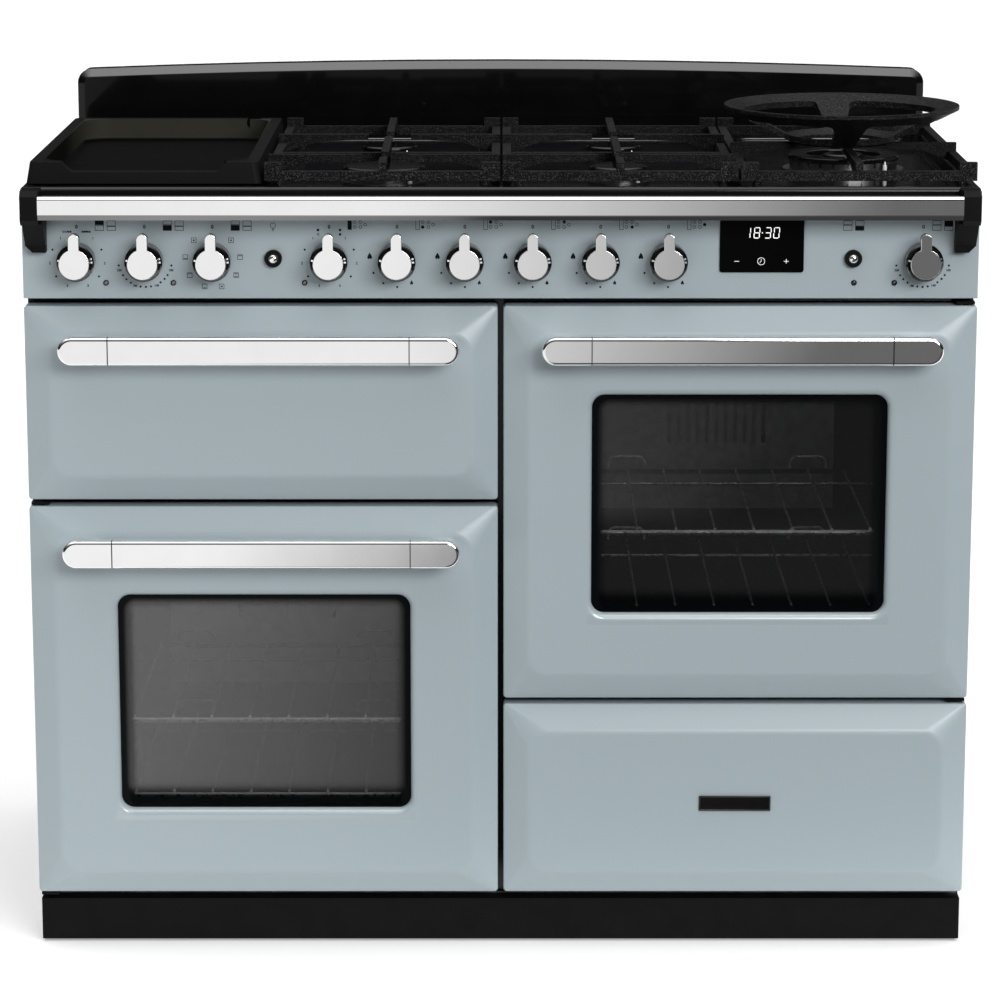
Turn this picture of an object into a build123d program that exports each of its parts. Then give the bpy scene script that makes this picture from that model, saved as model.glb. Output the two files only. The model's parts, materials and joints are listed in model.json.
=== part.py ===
"""Dual fuel range cooker, 1100 mm class: two side-hinged ovens, a drop-down grill door, a storage drawer,
a gas hob with griddle and wok ring, ten knobs and two push buttons. Millimetres, +Z up, front towards -Y."""
import os
from math import cos, radians, sin

from build123d import *

# Overall sizes
BODY_WIDTH = 1092.0
BODY_DEPTH = 592.0
HANDLE_REACH = 56.0
HOB_HEIGHT = 905.0
UPSTAND_TOP = 995.0
FIT_GAP = 0.3
RUN_GAP = 0.05

# The door plane is the datum for depth: depth 0 lies on it, larger depths lie further back
FRONT_Y = -(BODY_DEPTH - HANDLE_REACH) / 2

# Carcass
SIDE_INSET = 1.0
SIDE_T = 1.2
SIDE_RETURN = 14.0
PANEL_T = 1.2
FRAME_DEPTH = 31.0
FRAME_T = 1.5
BASE_Z = 54.0
BASE_T = 2.0
BACK_PANEL_DEPTH = 570.0
CARCASS_TOP = 882.0
CHANNEL_DEPTH = 40.0
CHANNEL_WIDTH = 40.0
CHANNEL_DROP = 14.0
DIVIDER_T = 2.0

# Plinth, feet and rollers
PLINTH_DEPTH = 12.0
PLINTH_T = 1.5
PLINTH_CLEARANCE = 3.5
PLINTH_RETURN = 90.0
FOOT_X = 480.0
FOOT_PAD_R = 20.0
FOOT_PAD_H = 10.0
FOOT_STUD_R = 5.0
FOOT_NUT_R = 10.0
FOOT_NUT_H = 6.0
ROLLER_X = 450.0
ROLLER_DEPTH = 540.0
ROLLER_R = 24.0
ROLLER_WIDTH = 34.0
ROLLER_AXLE_R = 5.0
CHEEK_T = 3.0
CHEEK_WIDTH = 40.0
CHEEK_END_Z = 12.0

# Doors and drawer front, as low and high edges in x and z
COLUMN_GAP = 6.5
DOOR_LOW = 66.0
DOOR_TOP = 767.0
DOOR_SPLIT = 8.0
GRILL_LOW = 540.5
RIGHT_OVEN_LOW = 303.0
DRAWER_SPLIT = 7.0
DOOR_DEPTH = 24.0
DOOR_CORNER = 4.0
DOOR_RIM_R = 2.5
FIELD_RISE = 16.0
FIELD_MARGIN = 30.0
FIELD_CORNER = 24.0
FIELD_EDGE_R = 14.0
SKIN_T = 1.2
LINER_T = 1.5
GLASS_T = 4.0
GLASS_LAP = 12.0
WINDOW_CORNER = 15.0
WINDOW_HEM = 10.0
WINDOW_DEPTH = 9.0
WINDOW_ROLL = 8.0
WINDOW_WIDTH = 340.0
WINDOW_HEIGHT = 257.5
LEFT_WINDOW_LOW = 172.2
RIGHT_WINDOW_LOW = 408.0

# Hinges
HINGE_INSET = 13.0
HINGE_DEPTH = 10.0
HINGE_PIN_R = 4.0
HINGE_BUSH = 20.0
HINGE_PLATE_T = 3.0
HINGE_ENGAGE = 22.0
GRILL_PIN_DEPTH = 4.0
GRILL_PIN_RISE = 15.5
GRILL_PIN_R = 3.0
GRILL_HUB_R = 6.0
GRILL_ARM_T = 5.0
GRILL_ARM_INSET = 60.0
GRILL_BUSH_T = 8.0
GRILL_ARM_UNDER = 1.5
ARM_SLOT_GAP = 1.0

# Handles
HANDLE_LENGTH = 456.0
HANDLE_HEIGHT = 32.6
HANDLE_T = 14.0
HANDLE_EDGE_R = 4.0
HANDLE_END = 57.0
HANDLE_JOINT_GAP = 0.4
HANDLE_POST_L = 34.0
HANDLE_POST_H = 22.0
HANDLE_POST_INSET = 24.0
HANDLE_DROP_UPPER = 44.2
HANDLE_DROP_LOWER = 45.7

# Cavities
CAVITY_T = 1.5
CAVITY_FLANGE = 12.0
OVEN_HALF_WIDTH = 230.0
OVEN_DEPTH = 446.0
OVEN_CENTRE_X = 275.0
LEFT_OVEN_LOW = 110.0
LEFT_OVEN_HIGH = 500.0
RIGHT_CAVITY_LOW = 335.0
RIGHT_CAVITY_HIGH = 735.0
GRILL_HALF_WIDTH = 240.0
GRILL_CAVITY_LOW = 582.0
GRILL_CAVITY_HIGH = 742.0
GRILL_CAVITY_DEPTH = 426.0
SEAL_WIDTH = 8.0
LEDGE_WIDTH = 8.0
LEDGE_T = 4.0
LEDGE_START = 30.0
LEDGE_END = 60.0
LEDGE_PITCH = 46.0
LEDGE_LEVELS = 8
LEFT_SHELF_Z = 166.5
RIGHT_SHELF_Z = 394.5
SHELF_STEP = 2
SHELF_ROD_R = 3.0
SHELF_WIRE_R = 1.6
SHELF_WIRES = 10
SHELF_WIRE_PITCH = 45.8
SHELF_SIDE_GAP = 3.0
SHELF_LENGTH = 360.0
SHELF_BRACE = 287.0
HOOP_OFFSET = 115.0
HOOP_WIDTH = 46.0
HOOP_RISE = 19.0
HOOP_R = 9.0

# Fans and elements
FAN_R = 68.0
FAN_BLADES = 8
FAN_BLADE_T = 1.2
FAN_BLADE_DEPTH = 14.0
FAN_HUB_R = 9.0
FAN_SHAFT_R = 4.0
FAN_STAND_OFF = 8.0
FAN_RISE = 20.0
MOTOR_R = 38.0
MOTOR_L = 52.0
COVER_HALF_WIDTH = 150.0
COVER_HALF_HEIGHT = 120.0
COVER_DEPTH = 36.0
COVER_T = 1.2
COVER_SLOTS = 11
COVER_SLOT_WIDTH = 5.0
COVER_SLOT_PITCH = 12.0
COVER_SLOT_HEIGHT = 70.0
ELEMENT_R = 3.5
ELEMENT_RING_R = 92.0
ELEMENT_STAND_OFF = 14.0
ELEMENT_BEND_R = 4.2
RING_GAP_ANGLE = 60.0
GRILL_ELEMENT_RUNS = 6
GRILL_ELEMENT_PITCH = 64.0
GRILL_ELEMENT_DROP = 16.0
GRILL_ELEMENT_LENGTH = 300.0
GRILL_ELEMENT_START = 60.0

# Grill pan
PAN_HALF_WIDTH = 203.0
PAN_DEPTH = 348.0
PAN_HEIGHT = 38.0
PAN_T = 1.5
PAN_START = 31.0
PAN_LEDGE = 10.0
TRIVET_WIRES = 14
TRIVET_ROD_R = 2.5

# Drawer
DRAWER_BOX_T = 1.2
DRAWER_BOX_LENGTH = 470.0
DRAWER_BOX_HEIGHT = 165.0
DRAWER_BOX_RISE = 14.0
DRAWER_SIDE_GAP = 20.0
RAIL_HEIGHT = 30.0
RAIL_RISE = 60.0
RAIL_MOVING_T = 5.0
RAIL_LENGTH = 460.0
DRAWER_OPENING_INSET = 10.0

# Control panel, knobs, buttons and clock
PANEL_LOW = 775.6
PANEL_SHEET_T = 1.5
PANEL_RETURN = 26.0
PANEL_EDGE_R = 1.0
KNOB_Z = 819.5
KNOB_PITCH = 77.4
KNOB_FIRST_X = -483.5
GAS_KNOB_FIRST_X = -195.6
KNOB_LAST_X = 482.0
KNOB_SKIRT_R = 21.5
KNOB_SKIRT_T = 20.0
KNOB_FACE_R = 17.3
KNOB_FACE_T = 12.0
KNOB_STAND_OFF = 3.0
KNOB_LOBE_WIDTH = 12.2
KNOB_LOBE_REACH = 34.5
KNOB_EDGE_R = 0.5
KNOB_SKIRT_EDGE = 1.5
SPINDLE_R = 3.0
SPINDLE_LENGTH = 26.0
SPINDLE_HOLE_R = 5.0
BUTTON_LEFT_X = -259.5
BUTTON_RIGHT_X = 402.5
BUTTON_Z = 822.0
BUTTON_R = 5.6
BUTTON_GAP = 0.35
BUTTON_REACH = 9.0
BUTTON_STEM_R = 3.5
BUTTON_STEM = 20.0
BUTTON_TRAVEL_ROOM = 4.0
BEZEL_R = 10.0
BEZEL_T = 5.0
CLOCK_X = (250.0, 346.0)
CLOCK_Z = (806.0, 868.0)
CLOCK_FACE_T = 2.0
CLOCK_BODY_INSET = 3.0
CLOCK_BODY_T = 24.0
CLOCK_CORNER = 3.0
SWITCH_HALF = 20.0
SWITCH_LENGTH = 40.0
PUSH_SWITCH_R = 11.0
PUSH_SWITCH_LENGTH = 30.0
TAP_R = 12.0
TAP_LENGTH = 40.0
MANIFOLD_R = 9.0
GAS_PIPE_R = 10.5
GAS_PIPE_X = 515.0
MANIFOLD_TURN = 40.0
GAS_PIPE_HOLE_R = 13.0
GAS_PIPE_END_INSET = 2.0
GAS_INLET_LENGTH = 18.0

# Handrail
RAIL_HALF = 521.0
RAIL_Z = (872.5, 898.8)
RAIL_FRONT_DEPTH = -54.0
RAIL_T = 16.0
RAIL_TOP_CHAMFER = 2.5
RAIL_LOW_BEVEL = (1.5, 5.0)
BRACKET_OUTER = 541.0
BRACKET_LEG = (517.5, 541.0)
BRACKET_LOW = 830.0
BRACKET_ARM_LOW = 866.0
BRACKET_LEG_T = 12.0
BRACKET_TOE = 8.0
BRACKET_GUSSET = 36.0
BRACKET_EDGE_R = 3.0

# Hob
HOB_FRONT_DEPTH = -15.0
HOB_SKIRT_LOW = 882.3
HOB_FLOOR = 897.0
HOB_T = 2.0
HOB_RIM = 12.0
HOB_CORNER = 10.0
HOB_EDGE_R = 5.0
HOB_WELL_CORNER = 16.0
HOB_BACK_DEPTH = 560.0
UPSTAND_HALF = 543.0
UPSTAND_CORNER_DROP = 11.0
UPSTAND_CORNER_R = 18.0
UPSTAND_BEVEL = 9.5
UPSTAND_T = 2.0
MODULE_FIRST = -543.0
MODULE_PITCH = 272.0
MODULE_GAP = 3.0
MODULE_FRONT = 12.0
MODULE_BACK = 496.0
TOP_OF_GRATE = 930.0

# Burners: head radius, cap radius
FRONT_BURNER_DEPTH = 96.0
REAR_BURNER_DEPTH = 306.0
WOK_BURNER_DEPTH = 218.0
LARGE_BURNER = (42.0, 48.0)
SMALL_BURNER = (28.0, 34.0)
WOK_BURNER_R = 64.0
WOK_INNER_R = 46.0
WOK_CORE_R = 22.0
BURNER_CUP_DROP = 24.0
BURNER_FLANGE = 8.0
BURNER_FLANGE_T = 3.0
BURNER_CROWN_T = 11.0
BURNER_CAP_T = 6.0
BURNER_SLOTS = 24
BURNER_SLOT_WIDTH = 2.0
BURNER_SLOT_DEEP = 6.0
BURNER_HOLE_GAP = 0.5

# Griddle and its hot zone
GRIDDLE_WALL = 14.0
GRIDDLE_LOW = 906.0
GRIDDLE_BASE = 900.0
GRIDDLE_BASE_WALL = 5.0
GRIDDLE_FLOOR = 904.0
GRIDDLE_FLOOR_R = 4.0
GRIDDLE_RAKE = 4.0
GRIDDLE_INNER_CORNER = 34.0
GRIDDLE_OUTER_CORNER = 8.0
GRIDDLE_DIP_Z = 919.0
GRIDDLE_DIP = (39.0, 51.0)
GRIDDLE_DIP_R = 9.0
GRIDDLE_NOTCH = (38.0, 925.0, 10.0)
GRIDDLE_FOOT_R = 7.0
GRIDDLE_FOOT_INSET = 18.0
ZONE_INSET = 34.0
ZONE_T = 2.5

# Pan supports and wok ring
BAR_WIDTH = 10.0
BAR_LOW = 909.0
BAR_TOP = 920.0
BLOCK_LENGTH = 20.0
FINGER_WIDTH = 9.0
FINGER_TIP_T = 6.0
FINGER_KNEE = 0.4
FINGER_KNEE_T = 8.5
FINGER_CLEAR = 26.0
WOK_FINGER_CLEAR = 46.0
GRATE_FOOT_R = 5.0
GRATE_FOOT_INSET = 18.0
WOK_RING_R = 139.5
WOK_RING_SHIFT = -3.0
WOK_RING_Z = 975.5
WOK_RIM_T = 6.0
WOK_RIM_H = 4.0
WOK_LOW_R = 52.0
WOK_LEG_HALF_ANGLE = 10.0
WOK_LEGS = 4
WOK_WINDOW_MARGIN = 6.0
WOK_RIM_LIP = 15.0
WOK_WINDOW_CORNER = 8.0

# Back panel details
LOUVRE_ROWS = 9
LOUVRE_PITCH = 16.0
LOUVRE_SIZE = (150.0, 5.0)
LOUVRE_LOW = 420.0
LOUVRE_X = 275.0
TERMINAL_X = (-440.0, -320.0)
TERMINAL_Z = (620.0, 720.0)
TERMINAL_T = 19.0
GLAND_R = 9.0
GLAND_BORE_R = 7.0
GLAND_LENGTH = 24.0

# Values that several pieces share
HALF_WIDTH = BODY_WIDTH / 2
SIDE_OUT = HALF_WIDTH - SIDE_INSET
SIDE_IN = SIDE_OUT - SIDE_T
INSIDE = SIDE_IN - FIT_GAP
FRAME_BACK = FRAME_DEPTH + FRAME_T
LINER_DEPTH = FRAME_BACK + FIT_GAP
BASE_TOP = BASE_Z + BASE_T
LEFT_X = (-HALF_WIDTH, -COLUMN_GAP / 2)
RIGHT_X = (COLUMN_GAP / 2, HALF_WIDTH)
LEFT_OVEN_DOOR_Z = (DOOR_LOW, GRILL_LOW - DOOR_SPLIT)
GRILL_DOOR_Z = (GRILL_LOW, DOOR_TOP)
RIGHT_OVEN_DOOR_Z = (RIGHT_OVEN_LOW, DOOR_TOP)
DRAWER_Z = (DOOR_LOW, RIGHT_OVEN_LOW - DRAWER_SPLIT)
LEFT_WINDOW_X = (-OVEN_CENTRE_X - WINDOW_WIDTH / 2, -OVEN_CENTRE_X + WINDOW_WIDTH / 2)
RIGHT_WINDOW_X = (OVEN_CENTRE_X - WINDOW_WIDTH / 2, OVEN_CENTRE_X + WINDOW_WIDTH / 2)
LEFT_WINDOW_Z = (LEFT_WINDOW_LOW, LEFT_WINDOW_LOW + WINDOW_HEIGHT)
RIGHT_WINDOW_Z = (RIGHT_WINDOW_LOW, RIGHT_WINDOW_LOW + WINDOW_HEIGHT)
LEFT_CAVITY_X = (-OVEN_CENTRE_X - OVEN_HALF_WIDTH, -OVEN_CENTRE_X + OVEN_HALF_WIDTH)
RIGHT_CAVITY_X = (OVEN_CENTRE_X - OVEN_HALF_WIDTH, OVEN_CENTRE_X + OVEN_HALF_WIDTH)
GRILL_CAVITY_X = (-OVEN_CENTRE_X - GRILL_HALF_WIDTH, -OVEN_CENTRE_X + GRILL_HALF_WIDTH)
LEFT_CAVITY_Z = (LEFT_OVEN_LOW, LEFT_OVEN_HIGH)
RIGHT_CAVITY_Z = (RIGHT_CAVITY_LOW, RIGHT_CAVITY_HIGH)
GRILL_CAVITY_Z = (GRILL_CAVITY_LOW, GRILL_CAVITY_HIGH)
OVEN_BACK = LINER_DEPTH + OVEN_DEPTH
GRILL_BACK = LINER_DEPTH + GRILL_CAVITY_DEPTH
HINGE_X = HALF_WIDTH - HINGE_INSET
GRILL_PIN_Z = GRILL_LOW + GRILL_PIN_RISE
GRILL_ARM_X = (LEFT_X[0] + GRILL_ARM_INSET, LEFT_X[1] - GRILL_ARM_INSET)
DRAWER_OPENING_X = (RIGHT_X[0] + DRAWER_OPENING_INSET, RIGHT_X[1] - DRAWER_OPENING_INSET)
DRAWER_BOX_X = (RIGHT_X[0] + DRAWER_SIDE_GAP, RIGHT_X[1] - DRAWER_SIDE_GAP)
DRAWER_BOX_Z = (DOOR_LOW + DRAWER_BOX_RISE, DOOR_LOW + DRAWER_BOX_RISE + DRAWER_BOX_HEIGHT)
RAIL_CENTRE_Z = DRAWER_BOX_Z[0] + RAIL_RISE
ELECTRIC_KNOBS_X = [KNOB_FIRST_X + n * KNOB_PITCH for n in range(3)]
HOB_KNOBS_X = [GAS_KNOB_FIRST_X + n * KNOB_PITCH for n in range(6)]
KNOBS_X = ELECTRIC_KNOBS_X + HOB_KNOBS_X + [KNOB_LAST_X]
GAS_KNOBS_X = HOB_KNOBS_X[1:]
SWITCH_KNOBS_X = ELECTRIC_KNOBS_X + HOB_KNOBS_X[:1] + [KNOB_LAST_X]
MODULE_EDGES = [MODULE_FIRST + n * MODULE_PITCH for n in range(5)]
MODULE_MIDS = [edge + MODULE_PITCH / 2 for edge in MODULE_EDGES[:4]]
OVEN_FAN_Z = {-1: sum(LEFT_CAVITY_Z) / 2 + FAN_RISE, 1: sum(RIGHT_CAVITY_Z) / 2 + FAN_RISE}


def depth(d):
    """The model's y at a depth behind the door plane."""
    return FRONT_Y + d


def slab(x, d, z):
    """A box between low and high x, depth and z."""
    size = (x[1] - x[0], d[1] - d[0], z[1] - z[0])
    return Pos(sum(x) / 2, depth(sum(d) / 2), sum(z) / 2) * Box(*size)


def front_plane(d, x=0.0, z=0.0):
    """A drawing plane seen from the front, with local x to the right and local y up."""
    return Plane(origin=(x, depth(d), z), x_dir=(1, 0, 0), z_dir=(0, -1, 0))


def front_prism(outline, d, x=0.0, z=0.0):
    """An outline drawn from the front, solid between two depths."""
    return extrude(front_plane(d[1], x, z) * outline, d[1] - d[0])


def side_prism(points, x):
    """An outline of (depth, z) points, solid between two x values."""
    plane = Plane(origin=(x[0], 0, 0), x_dir=(0, 1, 0), z_dir=(1, 0, 0))
    outline = make_face(Polyline(*[(depth(d), z) for d, z in points], close=True))
    return extrude(plane * outline, x[1] - x[0])


def rounded_front(x, z, radius):
    """A rounded rectangle's width, height and radius as a front outline, with its centre."""
    return RectangleRounded(x[1] - x[0], z[1] - z[0], radius), sum(x) / 2, sum(z) / 2


def rod_x(x, d, z, radius):
    return Pos(sum(x) / 2, depth(d), z) * Rot(0, 90, 0) * Cylinder(radius, x[1] - x[0])


def rod_y(x, d, z, radius):
    return Pos(x, depth(sum(d) / 2), z) * Rot(90, 0, 0) * Cylinder(radius, d[1] - d[0])


def rod_z(x, d, z, radius):
    return Pos(x, depth(d), sum(z) / 2) * Cylinder(radius, z[1] - z[0])


def grown(span, amount):
    """A low and high pair, wider by an amount at each end."""
    return span[0] - amount, span[1] + amount


def group(solids):
    """Separate solids that share one node."""
    return Compound(children=list(solids))


# Carcass

def base_tray():
    """Floor of the carcass, with the channel for the front feet and forks for the rear rollers."""
    span = (-INSIDE, INSIDE)
    tray = slab(span, (FRAME_BACK + FIT_GAP, BACK_PANEL_DEPTH - FIT_GAP), (BASE_Z, BASE_TOP))
    channel_d = (CHANNEL_DEPTH, CHANNEL_DEPTH + CHANNEL_WIDTH)
    channel = slab(span, channel_d, (BASE_Z - CHANNEL_DROP, BASE_Z))
    hollow_z = (BASE_Z - CHANNEL_DROP + BASE_T, BASE_Z)
    tray += channel - slab(grown(span, 1), grown(channel_d, -BASE_T), hollow_z)
    cheek_d = (ROLLER_DEPTH - CHEEK_WIDTH / 2, ROLLER_DEPTH + CHEEK_WIDTH / 2 - BASE_T)
    for side in (-1, 1):
        centre = side * ROLLER_X
        reach = ROLLER_WIDTH / 2 + 1 + CHEEK_T
        for cheek in ((-reach, -reach + CHEEK_T), (reach - CHEEK_T, reach)):
            tray += slab((centre + cheek[0], centre + cheek[1]), cheek_d, (CHEEK_END_Z, BASE_Z))
        tray += rod_x((centre - reach, centre + reach), ROLLER_DEPTH, ROLLER_R, ROLLER_AXLE_R)
        hole_z = (BASE_Z - CHANNEL_DROP - 1, BASE_Z)
        tray -= rod_z(side * FOOT_X, CHANNEL_DEPTH + CHANNEL_WIDTH / 2, hole_z, FOOT_STUD_R + FIT_GAP)
    return tray


def levelling_feet():
    """Two screw feet: pad, threaded stud and lock nut."""
    feet = []
    nut_top = BASE_Z - CHANNEL_DROP
    for side in (-1, 1):
        place = (side * FOOT_X, CHANNEL_DEPTH + CHANNEL_WIDTH / 2)
        foot = rod_z(*place, (0, FOOT_PAD_H), FOOT_PAD_R)
        foot += rod_z(*place, (FOOT_PAD_H, BASE_Z - FIT_GAP), FOOT_STUD_R)
        nut = extrude(RegularPolygon(FOOT_NUT_R, 6), FOOT_NUT_H)
        feet.append(foot + Pos(place[0], depth(place[1]), nut_top - FOOT_NUT_H) * nut)
    return group(feet)


def rear_rollers():
    """Two rollers that turn on the fixed axles of the rear forks."""
    rollers = []
    for side in (-1, 1):
        span = (side * ROLLER_X - ROLLER_WIDTH / 2, side * ROLLER_X + ROLLER_WIDTH / 2)
        roller = rod_x(span, ROLLER_DEPTH, ROLLER_R, ROLLER_R)
        roller -= rod_x(grown(span, 1), ROLLER_DEPTH, ROLLER_R, ROLLER_AXLE_R + RUN_GAP)
        rollers.append(roller)
    return group(rollers)


def side_panels():
    """Left and right sheet sides, each with a return along its back edge."""
    panels = []
    for side in (-1, 1):
        wall = sorted((side * SIDE_IN, side * SIDE_OUT))
        fold = sorted((side * (SIDE_IN - SIDE_RETURN), side * SIDE_OUT))
        panel = slab(wall, (FRAME_DEPTH, BODY_DEPTH), (BASE_Z, CARCASS_TOP))
        panel += slab(fold, (BODY_DEPTH - SIDE_T, BODY_DEPTH), (BASE_Z, CARCASS_TOP))
        panels.append(panel)
    return group(panels)


def back_panel():
    """Recessed back sheet with louvres, and the mains terminal box with its cable gland."""
    panel_d = (BACK_PANEL_DEPTH, BACK_PANEL_DEPTH + PANEL_T)
    sheet = slab((-INSIDE, INSIDE), panel_d, (BASE_TOP + FIT_GAP, CARCASS_TOP))
    for side in (-1, 1):
        for row in range(LOUVRE_ROWS):
            z = LOUVRE_LOW + row * LOUVRE_PITCH
            slot = SlotOverall(*LOUVRE_SIZE)
            sheet -= front_prism(slot, grown(panel_d, 1), side * LOUVRE_X, z)
    sheet -= rod_y(GAS_PIPE_X, grown(panel_d, 1), KNOB_Z, GAS_PIPE_HOLE_R)
    box_d = (panel_d[1], panel_d[1] + TERMINAL_T)
    box = slab(TERMINAL_X, box_d, TERMINAL_Z)
    gland_x = sum(TERMINAL_X) / 2
    gland_d = sum(box_d) / 2
    gland_z = (TERMINAL_Z[0] - GLAND_LENGTH, TERMINAL_Z[0])
    box += rod_z(gland_x, gland_d, gland_z, GLAND_R)
    box -= rod_z(gland_x, gland_d, gland_z, GLAND_BORE_R)
    return group([sheet, box])


def front_frame():
    """Face frame with an opening for each cavity and the drawer, and the wall between the columns."""
    frame_z = (BASE_TOP + FIT_GAP, PANEL_LOW - FIT_GAP)
    frame = slab((-INSIDE, INSIDE), (FRAME_DEPTH, FRAME_BACK), frame_z)
    cut_d = (FRAME_DEPTH - 1, FRAME_BACK + 1)
    for x, z in CAVITY_OPENINGS:
        frame -= slab(x, cut_d, z)
    drawer_z = grown(DRAWER_Z, -DRAWER_OPENING_INSET)
    frame -= slab(DRAWER_OPENING_X, cut_d, drawer_z)
    wall_d = (FRAME_DEPTH, BACK_PANEL_DEPTH - FIT_GAP)
    return frame + slab((-DIVIDER_T / 2, DIVIDER_T / 2), wall_d, frame_z)


CAVITY_OPENINGS = [
    (LEFT_CAVITY_X, LEFT_CAVITY_Z),
    (RIGHT_CAVITY_X, RIGHT_CAVITY_Z),
    (GRILL_CAVITY_X, GRILL_CAVITY_Z),
]


def cavity_liner(x, z, back, holes):
    """The sheets of an enamelled cavity: four walls, a back with holes, and a flange behind the face frame."""
    wall_d = (LINER_DEPTH, back + CAVITY_T)
    wide, tall = grown(x, CAVITY_T), grown(z, CAVITY_T)
    sheets = [slab(wide, wall_d, (tall[0], z[0])), slab(wide, wall_d, (z[1], tall[1]))]
    sheets += [slab((wide[0], x[0]), wall_d, z), slab((x[1], wide[1]), wall_d, z)]
    rear = slab(x, (back, back + CAVITY_T), z)
    for hole_x, hole_z, radius in holes:
        rear -= rod_y(hole_x, (back - 1, back + CAVITY_T + 1), hole_z, radius)
    flange_d = (LINER_DEPTH, LINER_DEPTH + CAVITY_T)
    flange_x, flange_z = grown(x, CAVITY_FLANGE), grown(z, CAVITY_FLANGE)
    sheets += [slab(flange_x, flange_d, (flange_z[0], tall[0])), slab(flange_x, flange_d, (tall[1], flange_z[1]))]
    sheets += [slab((flange_x[0], wide[0]), flange_d, tall), slab((wide[1], flange_x[1]), flange_d, tall)]
    return sheets + [rear]


def ledges(x, tops, back):
    """Shelf runners along both side walls, with their tops at the given heights."""
    runs = []
    for top in tops:
        for low, high in ((x[0], x[0] + LEDGE_WIDTH), (x[1] - LEDGE_WIDTH, x[1])):
            runs.append(slab((low, high), (LINER_DEPTH + LEDGE_START, back - LEDGE_END), (top - LEDGE_T, top)))
    return runs


def oven_liner(side, x, z, shelf_z):
    """An oven cavity with runners every pitch from its shelf, a shaft hole and element holes."""
    levels = [shelf_z + n * LEDGE_PITCH for n in range(-LEDGE_LEVELS, LEDGE_LEVELS + 1)]
    tops = [top for top in levels if z[0] + LEDGE_PITCH < top < z[1] - LEDGE_PITCH]
    holes = [(side * OVEN_CENTRE_X, OVEN_FAN_Z[side], FAN_SHAFT_R + 2)]
    for tail_x, tail_z in ring_tails(side):
        holes.append((tail_x, tail_z, ELEMENT_R + FIT_GAP))
    return group(cavity_liner(x, z, OVEN_BACK, holes) + ledges(x, tops, OVEN_BACK))


def grill_liner():
    """The grill chamber, with runners for the pan and holes for the element's tails."""
    holes = []
    for x in grill_run_x()[::GRILL_ELEMENT_RUNS - 1]:
        holes.append((x, GRILL_CAVITY_HIGH - GRILL_ELEMENT_DROP, ELEMENT_R + FIT_GAP))
    pan_top = GRILL_CAVITY_LOW + PAN_LEDGE + PAN_HEIGHT
    sheets = cavity_liner(GRILL_CAVITY_X, GRILL_CAVITY_Z, GRILL_BACK, holes)
    return group(sheets + ledges(GRILL_CAVITY_X, [pan_top], GRILL_BACK))


def door_seals():
    """Rope seals on the face frame around the three openings."""
    seal_d = (DOOR_DEPTH + FIT_GAP, FRAME_DEPTH)
    rings = []
    for x, z in CAVITY_OPENINGS:
        outer = front_prism(*outline_at(grown(x, SEAL_WIDTH), grown(z, SEAL_WIDTH), SEAL_WIDTH * 2, seal_d))
        inner = front_prism(*outline_at(x, z, SEAL_WIDTH, grown(seal_d, 1)))
        rings.append(outer - inner)
    return group(rings)


def outline_at(x, z, radius, d):
    """The arguments of front_prism for a rounded rectangle between low and high x and z."""
    outline, mid_x, mid_z = rounded_front(x, z, radius)
    return outline, d, mid_x, mid_z


# Doors

def door_form(x, z, inset, lift):
    """A door's pressed outside: a shallow box whose front slopes up to a raised flat field."""
    x, z = grown(x, -inset), grown(z, -inset)
    edge, mid_x, mid_z = rounded_front(x, z, DOOR_CORNER - inset)
    field_x, field_z = grown(x, -FIELD_MARGIN), grown(z, -FIELD_MARGIN)
    field, _, _ = rounded_front(field_x, field_z, FIELD_CORNER)
    back = DOOR_DEPTH + lift
    form = front_prism(edge, (lift, back), mid_x, mid_z)
    edge_face = front_plane(lift, mid_x, mid_z) * edge
    field_face = front_plane(lift - FIELD_RISE, mid_x, mid_z) * field
    form += loft([edge_face.face(), field_face.face()], ruled=True)
    field_edges = form.edges().filter_by_position(Axis.Y, depth(lift - FIELD_RISE) - 0.01, depth(lift - FIELD_RISE) + 0.01)
    form = fillet(field_edges, FIELD_EDGE_R - inset)
    rim_edges = form.edges().filter_by_position(Axis.Y, depth(lift) - 0.01, depth(lift) + 0.01)
    return fillet(rim_edges, DOOR_RIM_R - inset)


def door_shell(x, z):
    """The pressed sheet of a door or drawer front, open at the back."""
    return door_form(x, z, 0, 0) - door_form(x, z, SKIN_T, SKIN_T)


def windowed_shell(x, z, window_x, window_z):
    """A door sheet with a window whose edge is rolled back towards the glass."""
    shell = door_shell(x, z)
    hem_d = (-FIELD_RISE, -FIELD_RISE + WINDOW_DEPTH)
    hem = outline_at(grown(window_x, WINDOW_HEM), grown(window_z, WINDOW_HEM), WINDOW_CORNER + WINDOW_HEM, hem_d)
    shell += front_prism(*hem)
    shell -= front_prism(*outline_at(window_x, window_z, WINDOW_CORNER, grown(hem_d, 1)))
    at_field = shell.edges().filter_by_position(Axis.Y, depth(-FIELD_RISE) - 0.01, depth(-FIELD_RISE) + 0.01)
    near = [e for e in at_field if window_x[0] - 1 < e.center().X < window_x[1] + 1]
    rim = [e for e in near if window_z[0] - 1 < e.center().Z < window_z[1] + 1]
    return fillet(rim, WINDOW_ROLL)


def side_hinged_skin(side, x, z, window_x, window_z):
    """An oven door's sheet, drilled at its top and bottom edges for the hinge pins."""
    shell = windowed_shell(x, z, window_x, window_z)
    for edge in z:
        shell -= rod_z(side * HINGE_X, HINGE_DEPTH, grown((edge, edge), SKIN_T * 3), HINGE_PIN_R + 1)
    return shell


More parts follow.
